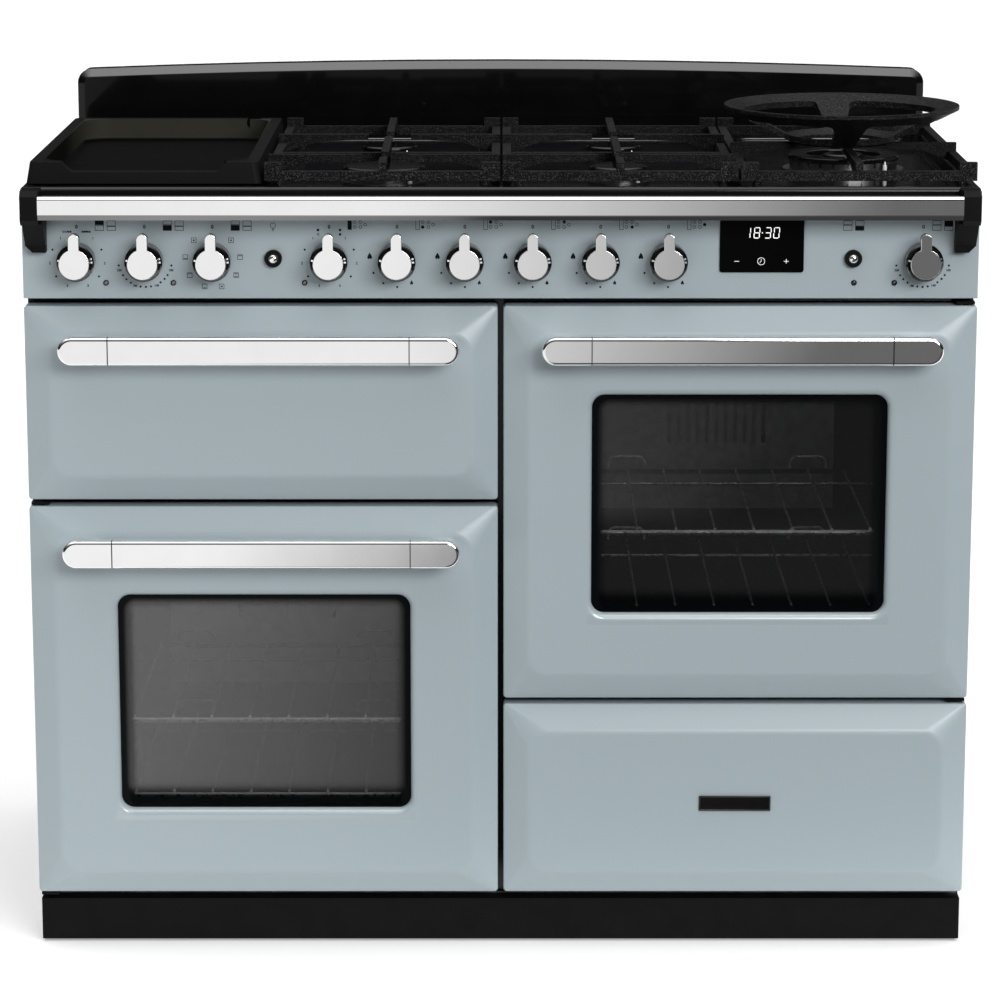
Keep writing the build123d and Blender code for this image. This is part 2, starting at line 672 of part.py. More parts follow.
def door_liner(x, z, window_x=None, window_z=None):
    """The inner panel that closes a door's back, inside the sheet's return edges."""
    inside_x, inside_z = grown(x, -SKIN_T - FIT_GAP), grown(z, -SKIN_T - FIT_GAP)
    panel_d = (DOOR_DEPTH - LINER_T, DOOR_DEPTH)
    panel = front_prism(*outline_at(inside_x, inside_z, DOOR_CORNER - SKIN_T, panel_d))
    if window_x:
        panel -= front_prism(*outline_at(window_x, window_z, WINDOW_CORNER, grown(panel_d, 1)))
    return panel


def side_hinged_liner(side, x, z, window_x, window_z):
    """An oven door's inner panel with a bush block at each hinge pin."""
    liner = door_liner(x, z, window_x, window_z)
    block_x = grown((side * HINGE_X, side * HINGE_X), HINGE_INSET - SKIN_T - FIT_GAP - DOOR_RIM_R)
    block_d = (HINGE_DEPTH - HINGE_PIN_R * 2, DOOR_DEPTH - LINER_T)
    low = z[0] + SKIN_T + FIT_GAP
    high = z[1] - SKIN_T - FIT_GAP
    for block_z in ((low, low + HINGE_BUSH), (high - HINGE_BUSH, high)):
        liner += slab(block_x, block_d, block_z)
        liner -= rod_z(side * HINGE_X, HINGE_DEPTH, grown(block_z, 1), HINGE_PIN_R + RUN_GAP)
    return liner


def door_glass(window_x, window_z):
    """Outer and inner panes, each lapping its window from behind."""
    outer_d = (-FIELD_RISE + WINDOW_DEPTH + FIT_GAP, -FIELD_RISE + WINDOW_DEPTH + FIT_GAP + GLASS_T)
    inner_d = (DOOR_DEPTH - LINER_T - FIT_GAP - GLASS_T, DOOR_DEPTH - LINER_T - FIT_GAP)
    lap_x, lap_z = grown(window_x, GLASS_LAP), grown(window_z, GLASS_LAP)
    panes = [front_prism(*outline_at(lap_x, lap_z, WINDOW_CORNER, d)) for d in (outer_d, inner_d)]
    return group(panes)


def grill_door_skin():
    """The grill door's sheet, slotted along its bottom edge for the two hinge arms."""
    shell = door_shell(LEFT_X, GRILL_DOOR_Z)
    for x in GRILL_ARM_X:
        shell -= arm_slot(x)
    return shell


def arm_slot(x):
    """The clearance that a hinge arm needs through the door's lower edge as the door drops."""
    slot_x = grown((x, x), GRILL_ARM_T / 2 + ARM_SLOT_GAP)
    hub = GRILL_HUB_R + ARM_SLOT_GAP
    slot = slab(slot_x, (GRILL_PIN_DEPTH - hub, DOOR_DEPTH + 1), grown((GRILL_PIN_Z, GRILL_PIN_Z), hub))
    below = (GRILL_PIN_DEPTH - GRILL_ARM_UNDER - ARM_SLOT_GAP, DOOR_DEPTH + 1)
    return slot + slab(slot_x, below, (GRILL_LOW - 1, GRILL_PIN_Z))


def grill_door_liner():
    """The grill door's inner panel, with bushes either side of each hinge arm."""
    liner = door_liner(LEFT_X, GRILL_DOOR_Z)
    for x in GRILL_ARM_X:
        inner = GRILL_ARM_T / 2 + ARM_SLOT_GAP
        for low, high in ((x - inner - GRILL_BUSH_T, x - inner), (x + inner, x + inner + GRILL_BUSH_T)):
            block_z = (GRILL_PIN_Z - GRILL_HUB_R, GRILL_PIN_Z + GRILL_HUB_R)
            liner += slab((low, high), (GRILL_PIN_DEPTH, DOOR_DEPTH - LINER_T), block_z)
            liner += rod_x((low, high), GRILL_PIN_DEPTH, GRILL_PIN_Z, GRILL_HUB_R)
        liner -= arm_slot(x)
        pin_x = grown((x, x), inner + GRILL_BUSH_T + 1)
        liner -= rod_x(pin_x, GRILL_PIN_DEPTH, GRILL_PIN_Z, GRILL_PIN_R + RUN_GAP)
    return liner


def door_hinges():
    """Fixed hinge halves: pin plates for the oven doors and pin arms for the grill door."""
    parts = []
    for side, door_z in ((-1, LEFT_OVEN_DOOR_Z), (1, RIGHT_OVEN_DOOR_Z)):
        plate_x = grown((side * HINGE_X, side * HINGE_X), HINGE_INSET - DOOR_RIM_R)
        plate_d = (HINGE_DEPTH - HINGE_PIN_R * 2, FRAME_DEPTH)
        for edge, way in ((door_z[0], -1), (door_z[1], 1)):
            plate_z = sorted((edge + way * HINGE_PLATE_T / 2, edge + way * HINGE_PLATE_T * 1.5))
            pin_z = sorted((edge + way * HINGE_PLATE_T, edge - way * HINGE_ENGAGE))
            plate = slab(plate_x, plate_d, plate_z)
            parts.append(plate + rod_z(side * HINGE_X, HINGE_DEPTH, pin_z, HINGE_PIN_R))
    for x in GRILL_ARM_X:
        arm_x = grown((x, x), GRILL_ARM_T / 2)
        arm_z = (GRILL_PIN_Z - GRILL_ARM_UNDER, GRILL_PIN_Z + GRILL_HUB_R)
        arm = slab(arm_x, (GRILL_PIN_DEPTH, FRAME_DEPTH), arm_z)
        arm += rod_x(arm_x, GRILL_PIN_DEPTH, GRILL_PIN_Z, GRILL_HUB_R)
        pin_x = grown(arm_x, ARM_SLOT_GAP + GRILL_BUSH_T)
        parts.append(arm + rod_x(pin_x, GRILL_PIN_DEPTH, GRILL_PIN_Z, GRILL_PIN_R))
    return group(parts)


def handle(x, z):
    """A flat bar between two rounded ends whose posts stand on the door's field."""
    centre = sum(x) / 2
    bar_d = (-HANDLE_REACH, -HANDLE_REACH + HANDLE_T)
    bar = front_prism(SlotOverall(HANDLE_LENGTH, HANDLE_HEIGHT), bar_d, centre, z)
    bar = fillet(bar.faces().sort_by(Axis.Y)[0].edges(), HANDLE_EDGE_R)
    bar = fillet(bar.faces().sort_by(Axis.Y)[-1].edges(), HANDLE_EDGE_R)
    half = HANDLE_LENGTH / 2
    joint = half - HANDLE_END
    tall = grown((z, z), HANDLE_HEIGHT)
    around = grown(bar_d, 1)
    middle = bar & slab(grown((centre, centre), joint - HANDLE_JOINT_GAP), around, tall)
    pieces = [middle]
    for side in (-1, 1):
        end_x = sorted((centre + side * joint, centre + side * (half + 1)))
        end = bar & slab(end_x, around, tall)
        post = SlotOverall(HANDLE_POST_L, HANDLE_POST_H)
        post_x = centre + side * (half - HANDLE_POST_INSET)
        end += front_prism(post, (-HANDLE_REACH + HANDLE_T / 2, -FIELD_RISE), post_x, z)
        pieces.append(end)
    return group(pieces)


# Drawer

def drawer_front():
    """The drawer's pressed front and the plate that closes its back."""
    return group([door_shell(RIGHT_X, DRAWER_Z), door_liner(RIGHT_X, DRAWER_Z)])


def drawer_box():
    """An open tray behind the drawer front, with the moving rails on its sides."""
    box_d = (DOOR_DEPTH, DOOR_DEPTH + DRAWER_BOX_LENGTH)
    box = slab(DRAWER_BOX_X, box_d, DRAWER_BOX_Z)
    hollow_z = (DRAWER_BOX_Z[0] + DRAWER_BOX_T, DRAWER_BOX_Z[1] + 1)
    box -= slab(grown(DRAWER_BOX_X, -DRAWER_BOX_T), grown(box_d, -DRAWER_BOX_T), hollow_z)
    rail_z = grown((RAIL_CENTRE_Z, RAIL_CENTRE_Z), RAIL_HEIGHT / 2)
    rail_d = (FRAME_BACK, FRAME_BACK + RAIL_LENGTH)
    left = (DRAWER_BOX_X[0] - RAIL_MOVING_T, DRAWER_BOX_X[0])
    right = (DRAWER_BOX_X[1], DRAWER_BOX_X[1] + RAIL_MOVING_T)
    return group([box, slab(left, rail_d, rail_z), slab(right, rail_d, rail_z)])


def drawer_rails():
    """The fixed rails on the wall between the columns and on the right side."""
    rail_z = grown((RAIL_CENTRE_Z, RAIL_CENTRE_Z), RAIL_HEIGHT / 2)
    rail_d = (FRAME_BACK + FIT_GAP, FRAME_BACK + FIT_GAP + RAIL_LENGTH)
    left = (DIVIDER_T / 2 + FIT_GAP, DRAWER_BOX_X[0] - RAIL_MOVING_T - FIT_GAP)
    right = (DRAWER_BOX_X[1] + RAIL_MOVING_T + FIT_GAP, SIDE_IN - FIT_GAP)
    return group([slab(left, rail_d, rail_z), slab(right, rail_d, rail_z)])


# Inside the ovens

def hoop(x, d, low):
    """A bent wire that stands on a shelf's rear rod and keeps a tray from sliding off."""
    left, right = x - HOOP_WIDTH / 2, x + HOOP_WIDTH / 2
    high = low + HOOP_RISE
    corners = [(left, depth(d), low), (left, depth(d), high), (right, depth(d), high), (right, depth(d), low)]
    return sweep(Pos(*corners[0]) * Circle(SHELF_WIRE_R), FilletPolyline(*corners, radius=HOOP_R))


def shelf(x, z, back):
    """A wire shelf: an outer rod, a brace, wires from front to back and two hoops, resting on the runners."""
    span = grown(x, -SHELF_SIDE_GAP - SHELF_ROD_R)
    mid = z + SHELF_ROD_R
    front = back - LEDGE_END / 2 - SHELF_LENGTH
    rear = back - LEDGE_END / 2
    wire_shelf = rod_x(span, front, mid, SHELF_ROD_R) + rod_x(span, rear, mid, SHELF_ROD_R)
    for edge in span:
        wire_shelf += rod_y(edge, (front, rear), mid, SHELF_ROD_R)
        for corner in (front, rear):
            wire_shelf += Pos(edge, depth(corner), mid) * Sphere(SHELF_ROD_R)
    wire_z = mid + SHELF_ROD_R - SHELF_WIRE_R / 2
    wire_shelf += rod_x(span, front + SHELF_BRACE, wire_z - 2 * SHELF_WIRE_R + FIT_GAP, SHELF_WIRE_R)
    middle = sum(span) / 2
    for n in range(SHELF_WIRES):
        wire_x = middle + (n - (SHELF_WIRES - 1) / 2) * SHELF_WIRE_PITCH
        wire_shelf += rod_y(wire_x, (front - SHELF_ROD_R / 2, rear), wire_z, SHELF_WIRE_R)
    for side in (-1, 1):
        wire_shelf += hoop(middle + side * HOOP_OFFSET, rear, mid)
    return wire_shelf


def oven_shelves():
    """Two wire shelves in each oven."""
    shelves = []
    for x, low in ((LEFT_CAVITY_X, LEFT_SHELF_Z), (RIGHT_CAVITY_X, RIGHT_SHELF_Z)):
        for z in (low, low + SHELF_STEP * LEDGE_PITCH):
            shelves.append(shelf(x, z, OVEN_BACK - COVER_DEPTH))
    return group(shelves)


def oven_fan(side):
    """A paddle fan on its shaft, turning in front of the oven's back wall."""
    centre, z = side * OVEN_CENTRE_X, OVEN_FAN_Z[side]
    plate_d = (OVEN_BACK - FAN_STAND_OFF, OVEN_BACK - FAN_STAND_OFF + FAN_BLADE_T)
    fan = rod_y(centre, plate_d, z, FAN_R)
    fan += rod_y(centre, (plate_d[0] - FAN_BLADE_DEPTH, plate_d[0]), z, FAN_HUB_R)
    for n in range(FAN_BLADES):
        blade_x = (FAN_HUB_R - 1, FAN_R)
        blade = Pos(sum(blade_x) / 2, 0, 0) * Box(blade_x[1] - blade_x[0], FAN_BLADE_DEPTH, FAN_BLADE_T)
        turn = Rot(0, 360 / FAN_BLADES * n, 0)
        fan += Pos(centre, depth(plate_d[0] - FAN_BLADE_DEPTH / 2), z) * turn * blade
    shaft_d = (plate_d[0], OVEN_BACK + CAVITY_T + MOTOR_L / 2)
    return fan + rod_y(centre, shaft_d, z, FAN_SHAFT_R)


def fan_assemblies():
    """For each oven, the slotted cover in front of the fan and the motor behind the back wall."""
    parts = []
    for side in (-1, 1):
        centre, z = side * OVEN_CENTRE_X, OVEN_FAN_Z[side]
        cover_x = grown((centre, centre), COVER_HALF_WIDTH)
        cover_z = grown((z, z), COVER_HALF_HEIGHT)
        cover_d = (OVEN_BACK - COVER_DEPTH, OVEN_BACK)
        cover = slab(cover_x, cover_d, cover_z)
        cover -= slab(grown(cover_x, -COVER_T), (cover_d[0] + COVER_T, OVEN_BACK + 1), grown(cover_z, -COVER_T))
        for n in range(COVER_SLOTS):
            slot_x = centre + (n - (COVER_SLOTS - 1) / 2) * COVER_SLOT_PITCH
            slot = SlotOverall(COVER_SLOT_HEIGHT, COVER_SLOT_WIDTH, rotation=90)
            cover -= front_prism(slot, grown((cover_d[0], cover_d[0] + COVER_T), 1), slot_x, z)
        parts.append(cover)
        motor_d = (OVEN_BACK + CAVITY_T, OVEN_BACK + CAVITY_T + MOTOR_L)
        motor = rod_y(centre, motor_d, z, MOTOR_R)
        parts.append(motor - rod_y(centre, (motor_d[0] - 1, motor_d[0] + MOTOR_L * 0.6), z, FAN_SHAFT_R + RUN_GAP))
    return group(parts)


def grill_run_x():
    """The x of each straight run of the grill element."""
    first = -OVEN_CENTRE_X - (GRILL_ELEMENT_RUNS - 1) / 2 * GRILL_ELEMENT_PITCH
    return [first + n * GRILL_ELEMENT_PITCH for n in range(GRILL_ELEMENT_RUNS)]


def grill_element():
    """A tubular element that runs to and fro under the grill chamber's roof."""
    z = GRILL_CAVITY_HIGH - GRILL_ELEMENT_DROP
    near = depth(GRILL_ELEMENT_START)
    far = depth(GRILL_ELEMENT_START + GRILL_ELEMENT_LENGTH)
    tail = depth(GRILL_BACK + CAVITY_T + GRILL_ELEMENT_DROP)
    points = []
    for n, x in enumerate(grill_run_x()):
        last = n in (0, GRILL_ELEMENT_RUNS - 1)
        ends = [(x, tail if last else far, z), (x, near, z)]
        points += ends if n % 2 == 0 else ends[::-1]
    path = FilletPolyline(*points, radius=GRILL_ELEMENT_PITCH * 0.4)
    return sweep(Plane(path @ 0, z_dir=path % 0) * Circle(ELEMENT_R), path=path)


def ring_tails(side):
    """The x and z of both ends of a ring element, either side of the gap at its bottom."""
    turn = radians(RING_GAP_ANGLE / 2)
    low = OVEN_FAN_Z[side] - ELEMENT_RING_R * cos(turn)
    return [(side * OVEN_CENTRE_X + offset * ELEMENT_RING_R * sin(turn), low) for offset in (-1, 1)]


def ring_element(side):
    """The fan oven's ring element, open at the bottom, with two tails through the back wall."""
    ring_d = OVEN_BACK - ELEMENT_STAND_OFF
    section = Plane.XZ * Pos(ELEMENT_RING_R, 0) * Circle(ELEMENT_R)
    ring = revolve(section, Axis.Z, 360 - RING_GAP_ANGLE)
    ring = Rot(90, 0, 0) * Rot(0, 0, RING_GAP_ANGLE / 2 - 90) * ring
    ring = Pos(side * OVEN_CENTRE_X, depth(ring_d), OVEN_FAN_Z[side]) * ring
    for x, z in ring_tails(side):
        ring += Pos(x, depth(ring_d), z) * Sphere(ELEMENT_BEND_R)
        ring += rod_y(x, (ring_d, OVEN_BACK + CAVITY_T + ELEMENT_STAND_OFF), z, ELEMENT_R)
    return ring


def heating_elements():
    return group([grill_element(), ring_element(-1), ring_element(1)])


def grill_pan():
    """The grill pan, hung by its rim on the chamber's runners, and the wire trivet in it."""
    top = GRILL_CAVITY_LOW + PAN_LEDGE + PAN_HEIGHT
    centre = (-OVEN_CENTRE_X, -OVEN_CENTRE_X)
    pan_x = grown(centre, PAN_HALF_WIDTH)
    pan_d = (LINER_DEPTH + PAN_START, LINER_DEPTH + PAN_START + PAN_DEPTH)
    pan = slab(pan_x, pan_d, (top - PAN_HEIGHT, top + PAN_T))
    rim_x = grown(centre, GRILL_HALF_WIDTH - SHELF_SIDE_GAP)
    pan += slab(rim_x, pan_d, (top, top + PAN_T))
    pan -= slab(grown(pan_x, -PAN_T), grown(pan_d, -PAN_T), (top - PAN_HEIGHT + PAN_T, top + PAN_T + 1))
    rod_z_mid = top - PAN_HEIGHT + PAN_T + TRIVET_ROD_R
    wire_z = rod_z_mid + TRIVET_ROD_R - SHELF_WIRE_R / 2
    span = grown(pan_x, -PAN_T - SHELF_SIDE_GAP)
    run_d = grown(pan_d, -PAN_T - SHELF_SIDE_GAP)
    trivet = rod_x(span, run_d[0] + LEDGE_START, rod_z_mid, TRIVET_ROD_R)
    trivet += rod_x(span, run_d[1] - LEDGE_START, rod_z_mid, TRIVET_ROD_R)
    pitch = (span[1] - span[0]) / (TRIVET_WIRES + 1)
    for n in range(TRIVET_WIRES):
        trivet += rod_y(span[0] + (n + 1) * pitch, run_d, wire_z, SHELF_WIRE_R)
    return group([pan, trivet])


# Front panel and controls

def control_panel():
    """The painted fascia, folded back along its bottom and ends, with its holes."""
    panel_z = (PANEL_LOW, CARCASS_TOP)
    panel = slab((-HALF_WIDTH, HALF_WIDTH), (0, PANEL_RETURN), panel_z)
    panel = fillet(panel.faces().sort_by(Axis.Y)[0].edges(), PANEL_EDGE_R)
    hollow_x = (-HALF_WIDTH + PANEL_SHEET_T, HALF_WIDTH - PANEL_SHEET_T)
    panel -= slab(hollow_x, (PANEL_SHEET_T, PANEL_RETURN + 1), (PANEL_LOW + PANEL_SHEET_T, CARCASS_TOP + 1))
    hole_d = (-1, PANEL_SHEET_T + 1)
    for x in KNOBS_X:
        panel -= rod_y(x, hole_d, KNOB_Z, SPINDLE_HOLE_R)
    for x in (BUTTON_LEFT_X, BUTTON_RIGHT_X):
        panel -= rod_y(x, hole_d, BUTTON_Z, BUTTON_R + BUTTON_GAP)
    body_x, body_z = grown(CLOCK_X, -CLOCK_BODY_INSET), grown(CLOCK_Z, -CLOCK_BODY_INSET)
    return panel - slab(grown(body_x, FIT_GAP), hole_d, grown(body_z, FIT_GAP))


def clock_display():
    """The clock's glass face, with its housing through the fascia."""
    face = front_prism(*outline_at(CLOCK_X, CLOCK_Z, CLOCK_CORNER, (-CLOCK_FACE_T, 0)))
    body_x, body_z = grown(CLOCK_X, -CLOCK_BODY_INSET), grown(CLOCK_Z, -CLOCK_BODY_INSET)
    return face + slab(body_x, (0, CLOCK_BODY_T), body_z)


def knob(x):
    """A control knob: round skirt, face with a pointer lobe, and the spindle it turns on."""
    skirt_d = (-KNOB_STAND_OFF - KNOB_SKIRT_T, -KNOB_STAND_OFF)
    face_d = (skirt_d[0] - KNOB_FACE_T, skirt_d[0])
    lobe_l = KNOB_LOBE_REACH + KNOB_LOBE_WIDTH / 2
    outline = Circle(KNOB_FACE_R)
    outline += Pos(0, lobe_l / 2 - KNOB_LOBE_WIDTH / 2) * SlotOverall(lobe_l, KNOB_LOBE_WIDTH, rotation=90)
    face = front_prism(outline, face_d, x, KNOB_Z)
    face = fillet(face.faces().sort_by(Axis.Y)[0].edges(), KNOB_EDGE_R)
    skirt = chamfer(rod_y(x, skirt_d, KNOB_Z, KNOB_SKIRT_R).faces().sort_by(Axis.Y)[0].edges(), KNOB_SKIRT_EDGE)
    return skirt + face + rod_y(x, (-KNOB_STAND_OFF, SPINDLE_LENGTH), KNOB_Z, SPINDLE_R)


def push_button(x):
    """A domed push button on its stem."""
    cap = rod_y(x, (-BUTTON_REACH, PANEL_SHEET_T), BUTTON_Z, BUTTON_R)
    cap = fillet(cap.faces().sort_by(Axis.Y)[0].edges(), BUTTON_R * 0.8)
    return cap + rod_y(x, (PANEL_SHEET_T, BUTTON_STEM), BUTTON_Z, BUTTON_STEM_R)


def oven_switches():
    """Switch and thermostat bodies behind the fascia, and the two push switches with their collars."""
    parts = []
    for x in SWITCH_KNOBS_X:
        body_d = (PANEL_SHEET_T, PANEL_SHEET_T + SWITCH_LENGTH)
        body = slab(grown((x, x), SWITCH_HALF), body_d, grown((KNOB_Z, KNOB_Z), SWITCH_HALF))
        parts.append(body - rod_y(x, (0, SPINDLE_LENGTH + 1), KNOB_Z, SPINDLE_R + RUN_GAP))
    for x in (BUTTON_LEFT_X, BUTTON_RIGHT_X):
        collar = rod_y(x, (-BEZEL_T, 0), BUTTON_Z, BEZEL_R)
        parts.append(collar - rod_y(x, (-BEZEL_T - 1, 1), BUTTON_Z, BUTTON_R + BUTTON_GAP))
        body = rod_y(x, (PANEL_SHEET_T, PANEL_SHEET_T + PUSH_SWITCH_LENGTH), BUTTON_Z, PUSH_SWITCH_R)
        body -= rod_y(x, (0, PANEL_SHEET_T + BUTTON_TRAVEL_ROOM), BUTTON_Z, BUTTON_R + BUTTON_GAP)
        stem_room = (0, BUTTON_STEM + BUTTON_TRAVEL_ROOM)
        parts.append(body - rod_y(x, stem_room, BUTTON_Z, BUTTON_STEM_R + RUN_GAP))
    return group(parts)


def gas_manifold():
    """The gas rail with its five taps, and the supply pipe round to the inlet at the back."""
    rail_d = PANEL_SHEET_T + TAP_LENGTH
    turn_x = GAS_KNOBS_X[-1] + MANIFOLD_TURN
    turn_d = rail_d + MANIFOLD_TURN
    rail = rod_x((GAS_KNOBS_X[0], turn_x), rail_d, KNOB_Z, MANIFOLD_R)
    for x in GAS_KNOBS_X:
        rail += rod_y(x, (PANEL_SHEET_T, rail_d), KNOB_Z, TAP_R)
        rail -= rod_y(x, (0, SPINDLE_LENGTH + 1), KNOB_Z, SPINDLE_R + RUN_GAP)
    rail += rod_y(turn_x, (rail_d, turn_d), KNOB_Z, MANIFOLD_R)
    rail += rod_x((turn_x, GAS_PIPE_X), turn_d, KNOB_Z, MANIFOLD_R)
    for x, d in ((turn_x, rail_d), (turn_x, turn_d), (GAS_PIPE_X, turn_d)):
        rail += Pos(x, depth(d), KNOB_Z) * Sphere(GAS_PIPE_R)
    inlet_end = BODY_DEPTH - GAS_PIPE_END_INSET
    rail += rod_y(GAS_PIPE_X, (turn_d, inlet_end - GAS_INLET_LENGTH), KNOB_Z, MANIFOLD_R)
    return rail + rod_y(GAS_PIPE_X, (inlet_end - GAS_INLET_LENGTH, inlet_end), KNOB_Z, GAS_PIPE_R)


def handrail_bar():
    """The rail along the front of the hob, with its front edges bevelled."""
    front, back = RAIL_FRONT_DEPTH, RAIL_FRONT_DEPTH + RAIL_T
    low, high = RAIL_Z
    bevel_d, bevel_z = RAIL_LOW_BEVEL
    outline = [(front + bevel_d, low), (back, low), (back, high), (front + RAIL_TOP_CHAMFER, high)]
    outline += [(front, high - RAIL_TOP_CHAMFER), (front, low + bevel_z)]
    return side_prism(outline, (-RAIL_HALF, RAIL_HALF))


def handrail_brackets():
    """Two end brackets that carry the rail from the fascia, below the hob's front edge."""
    back = HOB_FRONT_DEPTH - FIT_GAP
    top = CARCASS_TOP - FIT_GAP
    edge = BRACKET_EDGE_R * 2
    front = RAIL_FRONT_DEPTH
    arm = [(0, BRACKET_ARM_LOW), (front + edge, BRACKET_ARM_LOW), (front, BRACKET_ARM_LOW + edge)]
    arm += [(front, HOB_HEIGHT - edge), (front + edge, HOB_HEIGHT), (back, HOB_HEIGHT), (back, top), (0, top)]
    leg = [(0, BRACKET_LOW), (-BRACKET_LEG_T, BRACKET_LOW), (-BRACKET_LEG_T, BRACKET_LOW + BRACKET_TOE)]
    leg += [(-BRACKET_GUSSET, BRACKET_ARM_LOW), (-BRACKET_GUSSET, BRACKET_ARM_LOW + edge)]
    leg += [(-BRACKET_LEG_T, top), (0, top)]
    brackets = []
    for side in (-1, 1):
        arm_x = sorted((side * RAIL_HALF, side * BRACKET_OUTER))
        leg_x = sorted((side * BRACKET_LEG[0], side * BRACKET_LEG[1]))
        outer_toe = side_prism(leg, leg_x).edges().filter_by(Axis.Y).sort_by(Axis.Z)[:2].sort_by(Axis.X)
        foot = chamfer(outer_toe[0 if side < 0 else -1], BRACKET_TOE)
        brackets.append(side_prism(arm, arm_x) + foot)
    return group(brackets)


def plinth():
    """The kickboard: front plate, top flange under the base tray and short returns along the sides."""
    plinth_z = (PLINTH_CLEARANCE, BASE_Z - FIT_GAP)
    span = (-SIDE_OUT, SIDE_OUT)
    board = slab(span, (PLINTH_DEPTH, PLINTH_DEPTH + PLINTH_T), plinth_z)
    board += slab(span, (PLINTH_DEPTH, CHANNEL_DEPTH - FIT_GAP), (plinth_z[1] - PLINTH_T, plinth_z[1]))
    for side in (-1, 1):
        wall = sorted((side * SIDE_OUT, side * (SIDE_OUT - PLINTH_T)))
        board += slab(wall, (PLINTH_DEPTH, PLINTH_RETURN), plinth_z)
    return board


# Hob

BURNERS = [
    (MODULE_MIDS[1], FRONT_BURNER_DEPTH, LARGE_BURNER),
    (MODULE_MIDS[1], REAR_BURNER_DEPTH, SMALL_BURNER),
    (MODULE_MIDS[2], FRONT_BURNER_DEPTH, SMALL_BURNER),
    (MODULE_MIDS[2], REAR_BURNER_DEPTH, SMALL_BURNER),
]
WOK_PLACE = (MODULE_MIDS[3], WOK_BURNER_DEPTH)


def hob_tray():
    """The enamelled hob top: a rim around a shallow well, open underneath, with a hole for each burner."""
    middle = depth((HOB_FRONT_DEPTH + HOB_BACK_DEPTH) / 2)
    length = HOB_BACK_DEPTH - HOB_FRONT_DEPTH
    place = Pos(0, middle, HOB_SKIRT_LOW)
    tray = place * extrude(RectangleRounded(BODY_WIDTH, length, HOB_CORNER), HOB_HEIGHT - HOB_SKIRT_LOW)
    tray = fillet(tray.faces().sort_by(Axis.Z)[-1].edges(), HOB_EDGE_R)
    well = RectangleRounded(BODY_WIDTH - 2 * HOB_RIM, length - 2 * HOB_RIM, HOB_WELL_CORNER)
    tray -= Pos(0, middle, HOB_FLOOR) * extrude(well, HOB_HEIGHT - HOB_FLOOR + 1)
    under = RectangleRounded(BODY_WIDTH - 2 * HOB_T, length - 2 * HOB_T, HOB_CORNER - HOB_T)
    tray -= Pos(0, middle, HOB_SKIRT_LOW - 1) * extrude(under, HOB_FLOOR - HOB_T - HOB_SKIRT_LOW + 1)
    hole_z = (HOB_FLOOR - HOB_T - 1, HOB_FLOOR + 1)
    for x, d, sizes in BURNERS:
        tray -= rod_z(x, d, hole_z, sizes[0] + BURNER_HOLE_GAP)
    return tray - rod_z(*WOK_PLACE, hole_z, WOK_INNER_R + BURNER_HOLE_GAP)


def upstand_outline(inset):
    """The upstand from the front: square foot, rounded corners and a gently arched top."""
    half = UPSTAND_HALF - inset
    low = HOB_SKIRT_LOW
    shoulder = UPSTAND_TOP - UPSTAND_CORNER_DROP - inset
    sides = Polyline((-half, shoulder), (-half, low), (half, low), (half, shoulder))
    arch = ThreePointArc((half, shoulder), (0, UPSTAND_TOP - inset), (-half, shoulder))
    face = make_face([sides, arch])
    return fillet(face.vertices().sort_by(Axis.Y)[-2:], UPSTAND_CORNER_R - inset)


def rear_upstand():
    """The upstand behind the hob: bevelled around its face and hollow behind."""
    front = HOB_BACK_DEPTH + FIT_GAP
    body = front_prism(upstand_outline(0), (front, BODY_DEPTH))
    face_edges = body.faces().sort_by(Axis.Y)[0].edges().sort_by(Axis.Z)[1:]
    body = chamfer(face_edges, UPSTAND_BEVEL)
    body -= front_prism(upstand_outline(UPSTAND_BEVEL + UPSTAND_T), (front + UPSTAND_T, BODY_DEPTH + 1))
    return body - front_prism(upstand_outline(UPSTAND_T), (front + UPSTAND_BEVEL + UPSTAND_T, BODY_DEPTH + 1))


def slotted(head, x, d, radius, low):
    """A burner head with flame slots cut around its top edge."""
    cutters = []
    for n in range(BURNER_SLOTS):
        slot = Pos(radius, 0, 0) * Box(BURNER_SLOT_DEEP * 2, BURNER_SLOT_WIDTH, BURNER_CROWN_T)
        cutters.append(Pos(x, depth(d), low + BURNER_CROWN_T) * Rot(0, 0, 360 / BURNER_SLOTS * n) * slot)
    return head - cutters


def burner_heads():
    """The burner bodies: a cup through the hob, a flange on it and a slotted crown."""
    crown_low = HOB_FLOOR + BURNER_FLANGE_T
    crown_z = (crown_low, crown_low + BURNER_CROWN_T)
    cup_z = (HOB_FLOOR - BURNER_CUP_DROP, HOB_FLOOR)
    heads = []
    for x, d, (radius, _) in BURNERS:
        head = rod_z(x, d, cup_z, radius) + rod_z(x, d, (HOB_FLOOR, crown_low), radius + BURNER_FLANGE)
        heads.append(slotted(head + rod_z(x, d, crown_z, radius), x, d, radius, crown_low))
    x, d = WOK_PLACE
    wok = rod_z(x, d, cup_z, WOK_INNER_R) + rod_z(x, d, (HOB_FLOOR, crown_low), WOK_BURNER_R + BURNER_FLANGE)
    ring = rod_z(x, d, crown_z, WOK_BURNER_R) - rod_z(x, d, crown_z, WOK_INNER_R)
    wok = slotted(wok + ring, x, d, WOK_BURNER_R, crown_low) + rod_z(x, d, crown_z, WOK_CORE_R)
    return group(heads + [wok])


